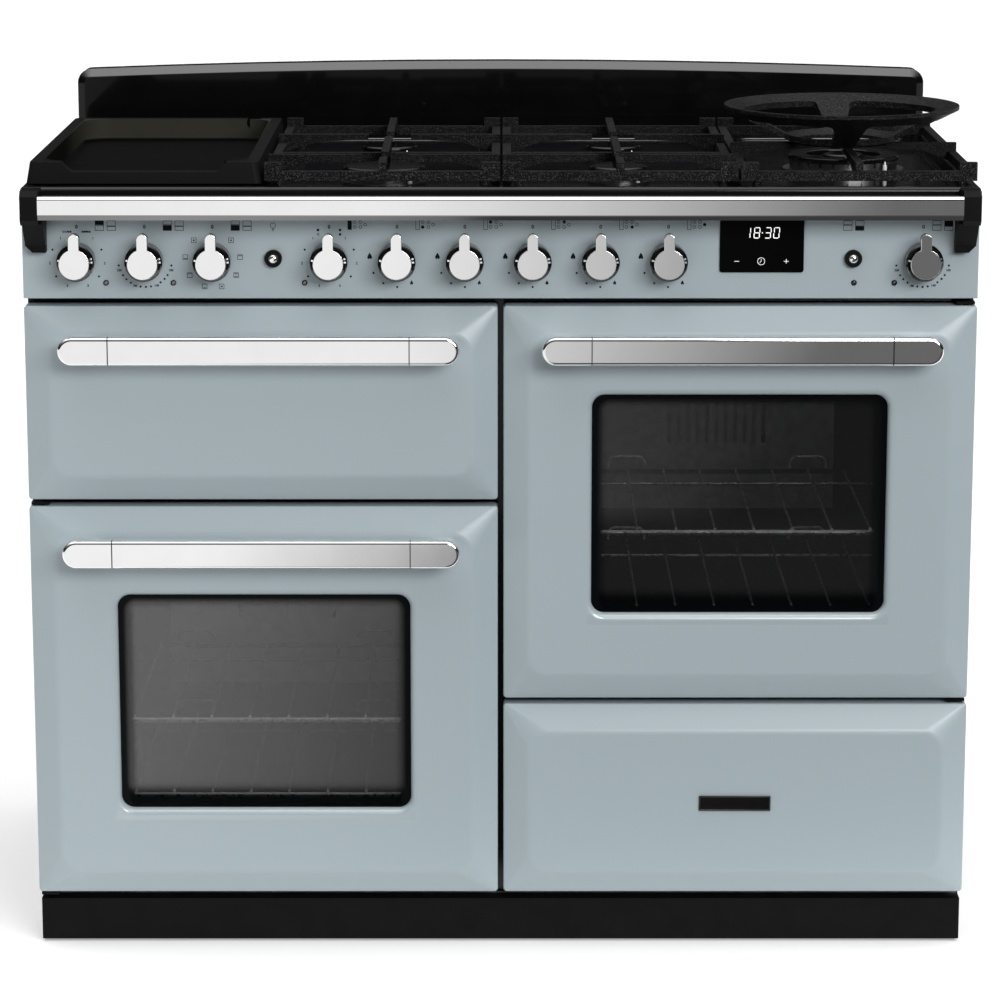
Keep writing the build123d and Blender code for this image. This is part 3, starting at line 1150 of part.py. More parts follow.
def burner_caps():
    """The enamelled caps that lie on the burner heads."""
    low = HOB_FLOOR + BURNER_FLANGE_T + BURNER_CROWN_T
    cap_z = (low, low + BURNER_CAP_T)
    discs = [(x, d, sizes[1]) for x, d, sizes in BURNERS] + [(*WOK_PLACE, WOK_CORE_R + BURNER_SLOT_WIDTH)]
    caps = []
    for x, d, radius in discs:
        cap = rod_z(x, d, cap_z, radius)
        caps.append(fillet(cap.faces().sort_by(Axis.Z)[-1].edges(), BURNER_CAP_T / 2))
    ring = rod_z(*WOK_PLACE, cap_z, WOK_BURNER_R + BURNER_SLOT_WIDTH)
    ring -= rod_z(*WOK_PLACE, grown(cap_z, 1), WOK_INNER_R - BURNER_SLOT_WIDTH)
    caps.append(fillet(ring.faces().sort_by(Axis.Z)[-1].edges(), BURNER_CAP_T / 3))
    return group(caps)


def module_span(n):
    """The x span of one hob module, with its share of the gap between modules."""
    return MODULE_EDGES[n] + MODULE_GAP / 2, MODULE_EDGES[n + 1] - MODULE_GAP / 2


def ceramic_zone():
    """The electric hot zone that lies in the hob under the griddle."""
    return slab(grown(module_span(0), -ZONE_INSET), (MODULE_FRONT + ZONE_INSET, MODULE_BACK - ZONE_INSET),
                (HOB_FLOOR, HOB_FLOOR + ZONE_T))


def griddle():
    """A cast griddle: raked walls, a deep rounded pocket, a dip in the front wall, a notch and four feet."""
    x = module_span(0)
    width, length = x[1] - x[0], MODULE_BACK - MODULE_FRONT
    middle = (sum(x) / 2, depth((MODULE_FRONT + MODULE_BACK) / 2))
    low = Pos(*middle, GRIDDLE_LOW) * RectangleRounded(width, length, GRIDDLE_OUTER_CORNER)
    shrink = 2 * GRIDDLE_RAKE
    high = Pos(*middle, TOP_OF_GRATE) * RectangleRounded(width - shrink, length - shrink, GRIDDLE_OUTER_CORNER)
    body = loft([low.face(), high.face()], ruled=True)
    inner = (width - 2 * (GRIDDLE_RAKE + GRIDDLE_WALL), length - 2 * (GRIDDLE_RAKE + GRIDDLE_WALL))
    grow = 2 * GRIDDLE_BASE_WALL
    base = RectangleRounded(inner[0] + grow, inner[1] + grow, GRIDDLE_INNER_CORNER + GRIDDLE_BASE_WALL)
    body += Pos(*middle, GRIDDLE_BASE) * extrude(base, GRIDDLE_LOW - GRIDDLE_BASE + 1)
    pocket = RectangleRounded(*inner, GRIDDLE_INNER_CORNER)
    pocket = Pos(*middle, GRIDDLE_FLOOR) * extrude(pocket, TOP_OF_GRATE - GRIDDLE_FLOOR + 1)
    body -= fillet(pocket.faces().sort_by(Axis.Z)[0].edges(), GRIDDLE_FLOOR_R)
    notch_inset, notch_z, notch_r = GRIDDLE_NOTCH
    body -= rod_y(x[1] - notch_inset, (MODULE_BACK - GRIDDLE_WALL - GRIDDLE_RAKE - 1, MODULE_BACK + 1), notch_z, notch_r)
    near, far = GRIDDLE_DIP
    above = TOP_OF_GRATE + 1
    dip = [(x[0] + near, above), (x[0] + far, GRIDDLE_DIP_Z), (x[1] - far, GRIDDLE_DIP_Z), (x[1] - near, above)]
    dip_d = (MODULE_FRONT - 1, MODULE_FRONT + GRIDDLE_RAKE + GRIDDLE_WALL + 1)
    dip_face = make_face(Polyline(*dip, close=True))
    body -= front_prism(fillet(dip_face.vertices().group_by(Axis.Y)[0], GRIDDLE_DIP_R), dip_d)
    for foot_x in grown(x, -GRIDDLE_FOOT_INSET):
        for foot_d in (MODULE_FRONT + GRIDDLE_FOOT_INSET, MODULE_BACK - GRIDDLE_FOOT_INSET):
            body += rod_z(foot_x, foot_d, (HOB_FLOOR, GRIDDLE_LOW + 1), GRIDDLE_FOOT_R)
    return body


def finger(x, d, angle, length):
    """A support finger: level on top, thinner towards its tip, pointing along an angle."""
    top = [(BAR_WIDTH, BAR_LOW), (0, BAR_LOW), (0, TOP_OF_GRATE), (length, TOP_OF_GRATE)]
    knee = BAR_WIDTH + (length - BAR_WIDTH) * FINGER_KNEE
    points = top + [(length, TOP_OF_GRATE - FINGER_TIP_T), (knee, TOP_OF_GRATE - FINGER_KNEE_T)]
    side = extrude(Plane.XZ * make_face(Polyline(*points, close=True)), FINGER_WIDTH / 2, both=True)
    return Pos(x, depth(d), 0) * Rot(0, 0, angle) * side


def pan_support(n, burners, clear):
    """A cast grate over one hob module: frame, feet, corner blocks and four fingers to each burner."""
    x = module_span(n)
    bars_z = (BAR_LOW, BAR_TOP)
    grate = slab(x, (MODULE_FRONT, MODULE_BACK), bars_z)
    grate -= slab(grown(x, -BAR_WIDTH), (MODULE_FRONT + BAR_WIDTH, MODULE_BACK - BAR_WIDTH), grown(bars_z, 1))
    middle = MODULE_MIDS[n]
    cuts = [MODULE_FRONT] + [sum(pair) / 2 for pair in zip(burners, burners[1:])] + [MODULE_BACK]
    for cross in cuts[1:-1]:
        grate += slab(x, grown((cross, cross), BAR_WIDTH / 2), bars_z)
    for k, burner in enumerate(burners):
        half = (x[1] - x[0]) / 2
        grate += finger(x[0], burner, 0, half - clear)
        grate += finger(x[1], burner, 180, half - clear)
        grate += finger(middle, cuts[k], 90, burner - cuts[k] - clear)
        grate += finger(middle, cuts[k + 1], -90, cuts[k + 1] - burner - clear)
    for low, high in ((x[0], x[0] + BLOCK_LENGTH), (x[1] - BLOCK_LENGTH, x[1])):
        for block in (MODULE_FRONT, MODULE_BACK - BAR_WIDTH):
            grate += slab((low, high), (block, block + BAR_WIDTH), (BAR_LOW, TOP_OF_GRATE))
    for foot_x in grown(x, -GRATE_FOOT_INSET):
        for foot_d in (MODULE_FRONT + BAR_WIDTH / 2, MODULE_BACK - BAR_WIDTH / 2):
            grate += rod_z(foot_x, foot_d, (HOB_FLOOR, BAR_LOW + 1), GRATE_FOOT_R)
    return grate


def wok_ring():
    """A cast ring that narrows down to the fingers, with four legs between its windows."""
    foot_r = WOK_LOW_R + WOK_RIM_T
    profile = [(WOK_LOW_R, TOP_OF_GRATE), (foot_r, TOP_OF_GRATE), (WOK_RING_R, WOK_RING_Z - WOK_RIM_H)]
    profile += [(WOK_RING_R, WOK_RING_Z), (WOK_RING_R - WOK_RIM_T, WOK_RING_Z), (WOK_LOW_R, TOP_OF_GRATE + WOK_RIM_H)]
    ring = revolve(Plane.XZ * make_face(Polyline(*profile, close=True)), Axis.Z)
    inner, outer = foot_r + WOK_WINDOW_MARGIN, WOK_RING_R - WOK_RIM_T - WOK_RIM_LIP
    first, last = WOK_LEG_HALF_ANGLE, 360 / WOK_LEGS - WOK_LEG_HALF_ANGLE
    halfway = (first + last) / 2

    def on_circle(radius, angle):
        return radius * cos(radians(angle)), radius * sin(radians(angle))

    def arc(radius):
        return ThreePointArc(*[on_circle(radius, angle) for angle in (first, halfway, last)])

    sides = [Line(on_circle(inner, angle), on_circle(outer, angle)) for angle in (first, last)]
    window = make_face([arc(inner), sides[0], arc(outer), sides[1]])
    window = fillet(window.vertices(), WOK_WINDOW_CORNER)
    cutter = Pos(0, 0, TOP_OF_GRATE - 1) * extrude(window, WOK_RING_Z - TOP_OF_GRATE + 2)
    ring -= [Rot(0, 0, 360 / WOK_LEGS * n) * cutter for n in range(WOK_LEGS)]
    return Pos(WOK_PLACE[0] + WOK_RING_SHIFT, depth(WOK_PLACE[1]), 0) * ring


KNOB_NAMES = [
    "grill_knob", "left_temperature_knob", "left_function_knob", "hot_zone_knob", "gas_knob_1", "gas_knob_2",
    "gas_knob_3", "gas_knob_4", "gas_knob_5", "right_temperature_knob",
]


def nodes():
    """Every node by name."""
    left_door = (-1, LEFT_X, LEFT_OVEN_DOOR_Z, LEFT_WINDOW_X, LEFT_WINDOW_Z)
    right_door = (1, RIGHT_X, RIGHT_OVEN_DOOR_Z, RIGHT_WINDOW_X, RIGHT_WINDOW_Z)
    made = {
        "base_tray": base_tray(), "levelling_feet": levelling_feet(), "rear_rollers": rear_rollers(),
        "side_panels": side_panels(), "back_panel": back_panel(), "front_frame": front_frame(),
        "plinth": plinth(), "grill_liner": grill_liner(), "door_seals": door_seals(), "door_hinges": door_hinges(),
        "left_oven_liner": oven_liner(-1, LEFT_CAVITY_X, LEFT_CAVITY_Z, LEFT_SHELF_Z),
        "right_oven_liner": oven_liner(1, RIGHT_CAVITY_X, RIGHT_CAVITY_Z, RIGHT_SHELF_Z),
        "left_door_skin": side_hinged_skin(*left_door), "left_door_liner": side_hinged_liner(*left_door),
        "left_door_glass": door_glass(LEFT_WINDOW_X, LEFT_WINDOW_Z),
        "left_door_handle": handle(LEFT_X, LEFT_OVEN_DOOR_Z[1] - HANDLE_DROP_LOWER),
        "right_door_skin": side_hinged_skin(*right_door), "right_door_liner": side_hinged_liner(*right_door),
        "right_door_glass": door_glass(RIGHT_WINDOW_X, RIGHT_WINDOW_Z),
        "right_door_handle": handle(RIGHT_X, DOOR_TOP - HANDLE_DROP_UPPER),
        "grill_door_skin": grill_door_skin(), "grill_door_liner": grill_door_liner(),
        "grill_door_handle": handle(LEFT_X, DOOR_TOP - HANDLE_DROP_UPPER),
        "drawer_front": drawer_front(), "drawer_box": drawer_box(), "drawer_rails": drawer_rails(),
        "oven_shelves": oven_shelves(), "left_fan": oven_fan(-1), "right_fan": oven_fan(1),
        "fan_assemblies": fan_assemblies(), "heating_elements": heating_elements(), "grill_pan": grill_pan(),
        "control_panel": control_panel(), "clock_display": clock_display(), "oven_switches": oven_switches(),
        "gas_manifold": gas_manifold(), "light_button": push_button(BUTTON_LEFT_X),
        "drawer_button": push_button(BUTTON_RIGHT_X), "handrail_bar": handrail_bar(),
        "handrail_brackets": handrail_brackets(), "hob_tray": hob_tray(), "rear_upstand": rear_upstand(),
        "burner_heads": burner_heads(), "burner_caps": burner_caps(), "ceramic_zone": ceramic_zone(),
        "griddle": griddle(), "wok_ring": wok_ring(),
        "pan_support_left": pan_support(1, [FRONT_BURNER_DEPTH, REAR_BURNER_DEPTH], FINGER_CLEAR),
        "pan_support_centre": pan_support(2, [FRONT_BURNER_DEPTH, REAR_BURNER_DEPTH], FINGER_CLEAR),
        "pan_support_right": pan_support(3, [WOK_BURNER_DEPTH], WOK_FINGER_CLEAR),
    }
    made.update({name: knob(x) for name, x in zip(KNOB_NAMES, KNOBS_X)})
    return made


os.makedirs("parts", exist_ok=True)
for name, shape in nodes().items():
    export_step(shape, f"parts/{name}.step")
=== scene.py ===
"""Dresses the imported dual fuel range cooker: finishes, dial marks, clock face, trim and a studio."""

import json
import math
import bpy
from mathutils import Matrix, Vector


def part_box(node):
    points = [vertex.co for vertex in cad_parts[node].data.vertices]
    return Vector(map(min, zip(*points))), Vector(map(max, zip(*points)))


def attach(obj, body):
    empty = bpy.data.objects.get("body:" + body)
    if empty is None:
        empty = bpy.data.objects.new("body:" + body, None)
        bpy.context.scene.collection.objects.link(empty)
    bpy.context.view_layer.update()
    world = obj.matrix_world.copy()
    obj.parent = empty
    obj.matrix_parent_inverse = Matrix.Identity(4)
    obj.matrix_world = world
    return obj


bl_info = {
    "name": "Range Cooker Dresser",
    "version": (1, 0, 0),
    "blender": (4, 5, 0),
    "location": "View3D > Sidebar > Cooker",
    "description": "Finishes, dial marks and trim for a dual fuel range cooker",
    "category": "Object",
}

import bpy
from bpy.props import FloatProperty, FloatVectorProperty, PointerProperty
from bpy.types import Operator, Panel, PropertyGroup
from mathutils import Matrix, Vector

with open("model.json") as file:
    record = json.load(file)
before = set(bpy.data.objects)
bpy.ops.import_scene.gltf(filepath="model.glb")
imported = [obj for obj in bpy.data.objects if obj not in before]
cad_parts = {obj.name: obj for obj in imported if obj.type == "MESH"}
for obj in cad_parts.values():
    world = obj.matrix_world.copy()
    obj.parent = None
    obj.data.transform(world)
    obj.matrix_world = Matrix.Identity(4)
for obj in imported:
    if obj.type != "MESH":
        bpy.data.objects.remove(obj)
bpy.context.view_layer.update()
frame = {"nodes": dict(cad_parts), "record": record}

MM = 0.001
PANEL_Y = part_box("control_panel")[0].y
SHELF_MIDS = (169.5, 261.5, 397.5, 489.5)
CLOCK_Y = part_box("clock_display")[0].y
DRAWER_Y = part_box("drawer_front")[0].y
KNOB_SKIRT_R = 21.5 * MM
KNOB_FACE_T = 12 * MM
HANDLE_END = 57 * MM
UPSTAND_DROP = 11 * MM
KNOB_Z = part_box("grill_knob")[0].z + KNOB_SKIRT_R
FACING_FRONT = Matrix.Rotation(math.pi / 2, 4, "X")

TEMPERATURE_KNOBS = ("left_temperature_knob", "right_temperature_knob")
GAS_KNOBS = tuple(f"gas_knob_{number}" for number in range(1, 6))
POWER_KNOBS = ("grill_knob", "hot_zone_knob")
HANDLES = ("left_door_handle", "right_door_handle", "grill_door_handle")
ALL_KNOBS = POWER_KNOBS + TEMPERATURE_KNOBS + ("left_function_knob",) + GAS_KNOBS


class CookerSizes(PropertyGroup):
    """Sizes of the trim that is laid over the cooker."""

    ink_depth: FloatProperty(
        name="Ink depth", description="Thickness of the printed marks", default=0.15 * MM, unit="LENGTH")
    dot_radius: FloatProperty(
        name="Dot radius", description="Radius of the dots round a dial", default=1.25 * MM, unit="LENGTH")
    dial_radius: FloatProperty(
        name="Dial radius", description="Distance of the dial marks from the knob's axis",
        default=30.6 * MM, unit="LENGTH")
    line_width: FloatProperty(
        name="Line width", description="Width of the lines of the small symbols",
        default=0.55 * MM, unit="LENGTH")
    lamp_radius: FloatProperty(
        name="Lamp radius", description="Radius of a pilot lamp's bezel", default=3.2 * MM, unit="LENGTH")
    badge_width: FloatProperty(
        name="Plate width", description="Width of the bare plate on the drawer",
        default=84 * MM, unit="LENGTH")
    badge_height: FloatProperty(
        name="Plate height", description="Height of the bare plate on the drawer",
        default=18 * MM, unit="LENGTH")
    bead_span: FloatProperty(
        name="Bead span", description="Width of the raised bead round a burner bay",
        default=222 * MM, unit="LENGTH")
    screw_radius: FloatProperty(
        name="Screw radius", description="Radius of the sheet-metal screw heads",
        default=3.8 * MM, unit="LENGTH")


class CookerColours(PropertyGroup):
    """Colours of the main finishes, as linear values."""

    paint: FloatVectorProperty(
        name="Paint", description="Pale grey-blue of the fronts", subtype="COLOR", size=4,
        default=(0.355, 0.420, 0.447, 1), min=0, max=1)
    ink: FloatVectorProperty(
        name="Ink", description="Dark print on the control panel", subtype="COLOR", size=4,
        default=(0.006, 0.007, 0.009, 1), min=0, max=1)
    digits: FloatVectorProperty(
        name="Digits", description="Lit digits of the clock", subtype="COLOR", size=4,
        default=(1, 0.98, 0.95, 1), min=0, max=1)
    enamel: FloatVectorProperty(
        name="Enamel", description="Black glossy enamel of the hob and ovens", subtype="COLOR", size=4,
        default=(0.006, 0.006, 0.007, 1), min=0, max=1)


class Wire:
    """A shader socket that takes part in Python sums."""

    def __init__(self, finish, socket):
        self.finish = finish
        self.socket = socket

    def sum(self, operation, first, second):
        node = self.finish.add("ShaderNodeMath", {"operation": operation}, {0: first, 1: second})
        return Wire(self.finish, node.outputs[0])

    def __add__(self, other):
        return self.sum("ADD", self, other)

    def __sub__(self, other):
        return self.sum("SUBTRACT", self, other)

    def __rsub__(self, other):
        return self.sum("SUBTRACT", other, self)

    def __mul__(self, other):
        return self.sum("MULTIPLY", self, other)

    def __abs__(self):
        return self.sum("ABSOLUTE", self, 0.0)

    def __truediv__(self, other):
        return self.sum("DIVIDE", self, other)

    def __pow__(self, other):
        return self.sum("POWER", self, other)

    def __or__(self, other):
        return self.sum("MAXIMUM", self, other)

    __radd__ = __add__
    __rmul__ = __mul__


class NodeBench:
    """Adds shader nodes to one node tree."""

    def __init__(self, tree):
        self.tree = tree

    def add(self, kind, settings, inputs):
        node = self.tree.nodes.new(kind)
        for name, value in settings.items():
            setattr(node, name, value)
        for name, value in inputs.items():
            self.join(node.inputs[name], value)
        return node

    def join(self, socket, value):
        if isinstance(value, Wire):
            self.tree.links.new(value.socket, socket)
        else:
            socket.default_value = value

    def axes(self):
        place = self.add("ShaderNodeTexCoord", {}, {}).outputs["Object"]
        node = self.add("ShaderNodeSeparateXYZ", {}, {0: Wire(self, place)})
        return [Wire(self, socket) for socket in node.outputs]


class Finish(NodeBench):
    """A procedural material round one Principled shader."""

    def __init__(self, name, constants):
        self.material = bpy.data.materials.new(name)
        self.material.use_nodes = True
        super().__init__(self.material.node_tree)
        self.shader = self.tree.nodes["Principled BSDF"]
        for socket, value in constants.items():
            self.set(socket, value)

    def set(self, socket, value):
        self.join(self.shader.inputs[socket], value)

    def place(self):
        return Wire(self, self.add("ShaderNodeTexCoord", {}, {}).outputs["Object"])

    def stretched(self, scale):
        node = self.add("ShaderNodeMapping", {}, {"Vector": self.place(), "Scale": scale})
        return Wire(self, node.outputs[0])

    def noise(self, scale, detail=2.0, stretch=(1, 1, 1)):
        inputs = {"Vector": self.stretched(stretch), "Scale": scale, "Detail": detail}
        return Wire(self, self.add("ShaderNodeTexNoise", {}, inputs).outputs["Fac"])

    def cells(self, scale):
        node = self.add("ShaderNodeTexVoronoi", {}, {"Vector": self.place(), "Scale": scale})
        return Wire(self, node.outputs["Color"])

    def step(self, value, low, high, first=0.0, last=1.0):
        settings = {"interpolation_type": "SMOOTHSTEP"}
        inputs = {0: value, 1: low, 2: high, 3: first, 4: last}
        return Wire(self, self.add("ShaderNodeMapRange", settings, inputs).outputs[0])

    def ramp(self, value, low, high, first=0.0, last=1.0):
        inputs = {0: value, 1: low, 2: high, 3: first, 4: last}
        return Wire(self, self.add("ShaderNodeMapRange", {}, inputs).outputs[0])

    def blend(self, factor, first, second):
        node = self.add("ShaderNodeMix", {"data_type": "RGBA"}, {0: factor, 6: first, 7: second})
        return Wire(self, node.outputs[2])

    def merge(self, first, second, factor):
        return Wire(self, self.add("ShaderNodeMix", {}, {0: factor, 2: first, 3: second}).outputs[0])

    def bump(self, height, strength, distance):
        inputs = {"Height": height, "Strength": strength, "Distance": distance}
        self.set("Normal", Wire(self, self.add("ShaderNodeBump", {}, inputs).outputs[0]))

    def vary(self, wave, low, high):
        """Roughness that wanders between two values with a noise."""
        self.set("Roughness", wave * (high - low) + low)


def shade(colour, factor):
    """The same colour, darker or lighter."""
    return tuple(channel * factor for channel in colour[:3]) + (1,)


def grey(value):
    return (value, value, value, 1)


def paint_finish(colour):
    """Pale paint whose clear coat is heavy only on the rolled edge under each oven window, a painted
    highlight there.
    """
    finish = Finish("pale_paint", {"Coat IOR": 2.0, "Coat Roughness": 0.26, "Specular IOR Level": 0.4})
    x, _, z = finish.axes()
    painted_lip_sheen = []
    for node in ("left_door_glass", "right_door_glass"):
        low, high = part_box(node)
        half = (high.x - low.x) / 2
        across = finish.step(abs(x - (low.x + high.x) / 2), half - 10 * MM, half - 4 * MM, 1.0, 0.0)
        painted_lip_sheen.append(across * finish.step(abs(z - low.z - 5 * MM), 5 * MM, 7 * MM, 1.0, 0.0))
    # Painted highlight: the clear coat is heavy only on the rolled lip under each window and light
    # elsewhere.
    finish.set("Coat Weight", sum(painted_lip_sheen) * 0.88 + 0.11)
    cloud = finish.noise(3.0)
    finish.set("Base Color", finish.blend(cloud, shade(colour, 0.985), shade(colour, 1.015)))
    finish.vary(finish.noise(60.0), 0.36, 0.46)
    finish.bump(finish.noise(420.0), 0.035, 0.4 * MM)
    return finish.material


def plated(name):
    """A chrome finish and the colour that its haze gives it."""
    finish = Finish(name, {"Metallic": 1.0})
    haze = finish.noise(35.0, 3.0)
    finish.vary(haze, 0.03, 0.09)
    return finish, finish.blend(haze, grey(0.86), grey(0.92))


def chrome_finish():
    finish, bright = plated("bright_chrome")
    finish.set("Base Color", bright)
    return finish.material


def knob_finish():
    """Chrome on the face of a knob, dark plating on its sides and skirt, painted darker at the top and
    lighter towards the foot as painted shade.
    """
    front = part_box("grill_knob")[0].y
    finish, bright = plated("knob_chrome")
    _, y, z = finish.axes()
    side = finish.step(y, front + 0.7 * MM, front + 1.4 * MM)
    # Painted shade: the plating on the sides and skirt is darker at the top and lighter towards the foot,
    # as if lit from below.
    dark = finish.blend(finish.step(z, KNOB_Z - 14 * MM, KNOB_Z), grey(0.13), grey(0.05))
    finish.set("Base Color", finish.blend(side, bright, dark))
    return finish.material


def handle_finish(node):
    """Chrome with a painted shadow line where each end meets the bar."""
    low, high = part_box(node)
    seam = (high.x - low.x) / 2 - HANDLE_END
    finish, bright = plated(f"{node}_chrome")
    across = abs(finish.axes()[0] - (low.x + high.x) / 2)
    # Painted shadow: a dark line over the chrome at each seam where an end meets the bar.
    dark = finish.step(abs(across - seam), 0.4 * MM, 0.9 * MM, 1.0, 0.0)
    finish.set("Base Color", finish.blend(dark, bright, grey(0.04)))
    return finish.material


def rail_finish():
    """Chrome with a painted dark line under its top edge and a painted reflection along its lower bevel,
    grey that lightens from left to right.
    """
    low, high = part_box("handrail_bar")
    finish, bright = plated("rail_chrome")
    x, _, z = finish.axes()
    line_drop, bevel_rise = 3 * MM, 5.8 * MM
    # Painted shade: a dark line just under the top edge.
    line = finish.step(abs(z - (high.z - line_drop)), 0.5 * MM, 1.0 * MM, 0.85, 0.0)
    bevel = finish.step(z, low.z + bevel_rise, low.z + bevel_rise + 0.5 * MM, 1.0, 0.0)
    # Painted reflection: the lower bevel is grey instead of bright chrome, lighter from the left end to the
    # right.
    painted_bevel_reflection = finish.blend(finish.ramp(x, low.x, high.x), grey(0.22), grey(0.55))
    finish.set("Base Color", finish.blend(bevel, finish.blend(line, bright, grey(0.10)), painted_bevel_reflection))
    return finish.material


def enamel_finish(name, colour, coat, coat_ior):
    constants = {"Coat Weight": coat, "Coat IOR": coat_ior}
    constants.update({"Coat Roughness": 0.03, "Specular IOR Level": 0.15})
    finish = Finish(name, constants)
    cloud = finish.noise(25.0)
    finish.set("Base Color", finish.blend(cloud, shade(colour, 0.8), shade(colour, 1.4)))
    finish.vary(cloud, 0.10, 0.18)
    finish.bump(finish.noise(300.0), 0.02, 0.3 * MM)
    return finish.material


def upstand_finish(colour):
    """Black enamel with a painted sheen: a heavy coat only along the bevel under its arched top edge."""
    low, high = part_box("rear_upstand")
    half = (high.x - low.x) / 2
    finish = Finish("upstand_enamel", {"Coat IOR": 1.7, "Coat Roughness": 0.05, "Specular IOR Level": 0.05})
    x, _, z = finish.axes()
    edge = high.z - UPSTAND_DROP / (half * half) * (x * x)
    # Painted sheen: the coat is heavy only in a band along the bevel under the arched edge and light
    # elsewhere.
    finish.set("Coat Weight", finish.step(edge - z, 8.5 * MM, 10.5 * MM, 0.9, 0.10))
    cloud = finish.noise(25.0)
    finish.set("Base Color", finish.blend(cloud, shade(colour, 0.3), shade(colour, 0.6)))
    finish.vary(cloud, 0.15, 0.25)
    return finish.material


def satin_black_finish():
    finish = Finish("satin_black", {"Specular IOR Level": 0.06})
    cloud = finish.noise(40.0)
    finish.set("Base Color", finish.blend(cloud, grey(0.004), grey(0.008)))
    finish.vary(cloud, 0.34, 0.46)
    finish.bump(finish.noise(900.0), 0.06, 0.2 * MM)
    return finish.material


def cast_iron_finish():
    finish = Finish("speckled_iron", {"Specular IOR Level": 0.09})
    fleck = finish.step(finish.noise(1100.0, 1.0), 0.60, 0.70)
    finish.set("Base Color", finish.blend(fleck, grey(0.0025), grey(0.11)))
    finish.vary(finish.noise(180.0), 0.42, 0.62)
    finish.bump(finish.noise(700.0, 3.0), 0.30, 0.5 * MM)
    return finish.material


def griddle_finish():
    """A black coating with a painted bronze sheen in the pocket, faint at the front and strongest on the
    back wall; the pocket floor stays near black.
    """
    low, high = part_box("griddle")
    centre, half = (low + high) / 2, (high - low) / 2
    wall_t = 17 * MM
    floor_z = low.z + 8 * MM
    finish = Finish("griddle_coating", {"Specular IOR Level": 0.025})
    cloud = finish.noise(14.0, 3.0)
    x, y, z = finish.axes()
    reach = (abs(x - centre.x) - (half.x - wall_t)) | (abs(y - centre.y) - (half.y - wall_t))
    inside = finish.step(reach, -0.5 * MM, 0.5 * MM, 1.0, 0.0)
    # Painted sheen: above the pocket floor the colour turns bronze, faint at the front and full on the back
    # wall; the pocket floor stays near black.
    bronze = finish.step(z, floor_z, floor_z + 3 * MM) * (cloud + 0.5)
    bronze = bronze * finish.ramp(y, centre.y, high.y - wall_t, 0.1, 1.0)
    pocket = finish.blend(bronze, grey(0.0015), (0.038, 0.037, 0.030, 1))
    finish.set("Base Color", finish.blend(inside, grey(0.009), pocket))
    finish.vary(cloud, 0.38, 0.50)
    finish.bump(finish.noise(800.0), 0.10, 0.3 * MM)
    return finish.material


def alloy_finish():
    finish = Finish("burner_alloy", {"Metallic": 1.0})
    brush = finish.noise(220.0, 3.0, (1, 1, 6))
    finish.set("Base Color", finish.blend(brush, grey(0.16), grey(0.28)))
    finish.vary(brush, 0.22, 0.36)
    finish.bump(brush, 0.05, 0.2 * MM)
    return finish.material


def glass_finish(node):
    """Smoked door glass with an opaque printed border that follows the window's rounded edge, and painted
    shade where the reflecting coat fades out, widest at the bottom.
    """
    low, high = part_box(node)
    centre = (low + high) / 2
    half = (high - low) / 2
    constants = {"Base Color": (0.003, 0.0035, 0.004, 1), "Specular IOR Level": 0.05}
    constants.update({"Coat IOR": 2.7, "Coat Roughness": 0.02})
    finish = Finish(f"{node}_smoked", constants)
    x, _, z = finish.axes()
    corner = 10 * MM

    def beyond(side, top, bottom):
        """How far a point lies outside a rounded window with these borders, in millimetres."""
        middle_z = centre.z + (bottom - top) / 2 * MM
        reach_x = (abs(x - centre.x) - (half.x - side * MM - corner)) | 0.0
        reach_z = (abs(z - middle_z) - (half.z - (bottom + top) / 2 * MM - corner)) | 0.0
        return ((reach_x * reach_x + reach_z * reach_z) ** 0.5 - corner) / MM

    finish.set("Alpha", finish.step(beyond(22.5, 21.5, 13), -4, 4, 0.30, 1.0))
    # Painted shade: the reflecting coat fades out inside the printed border, over a much wider band at the
    # bottom, leaving a dark band there.
    finish.set("Coat Weight", finish.step(beyond(23, 22, 32), -9, 6, 1.0, 0.0))
    finish.vary(finish.noise(30.0), 0.02, 0.05)
    return finish.material


def black_glass_finish():
    finish = Finish("clock_glass", {"Base Color": (0.0018, 0.0018, 0.002, 1), "Specular IOR Level": 0.04})
    finish.vary(finish.noise(50.0), 0.05, 0.10)
    return finish.material


def ceramic_finish():
    """Dark glass plate with the printed rings of two hot zones."""
    low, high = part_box("ceramic_zone")
    finish = Finish("ceramic_plate", {})
    x, y, _ = finish.axes()
    along = abs(y - (low.y + high.y) / 2) - 0.11
    across = x - (low.x + high.x) / 2
    radius = (along * along + across * across) ** 0.5
    ring = finish.step(abs(radius - 0.082), 0.0012, 0.0022, 1.0, 0.0)
    finish.set("Base Color", finish.blend(ring, grey(0.006), grey(0.35)))
    finish.vary(finish.noise(90.0), 0.05, 0.12)
    return finish.material


def galvanised_finish():
    finish = Finish("galvanised_sheet", {"Metallic": 0.85})
    spangle = finish.cells(90.0)
    finish.set("Base Color", finish.blend(spangle, grey(0.42), grey(0.58)))
    finish.vary(finish.noise(45.0), 0.34, 0.5)
    finish.bump(finish.noise(300.0), 0.03, 0.2 * MM)
    return finish.material


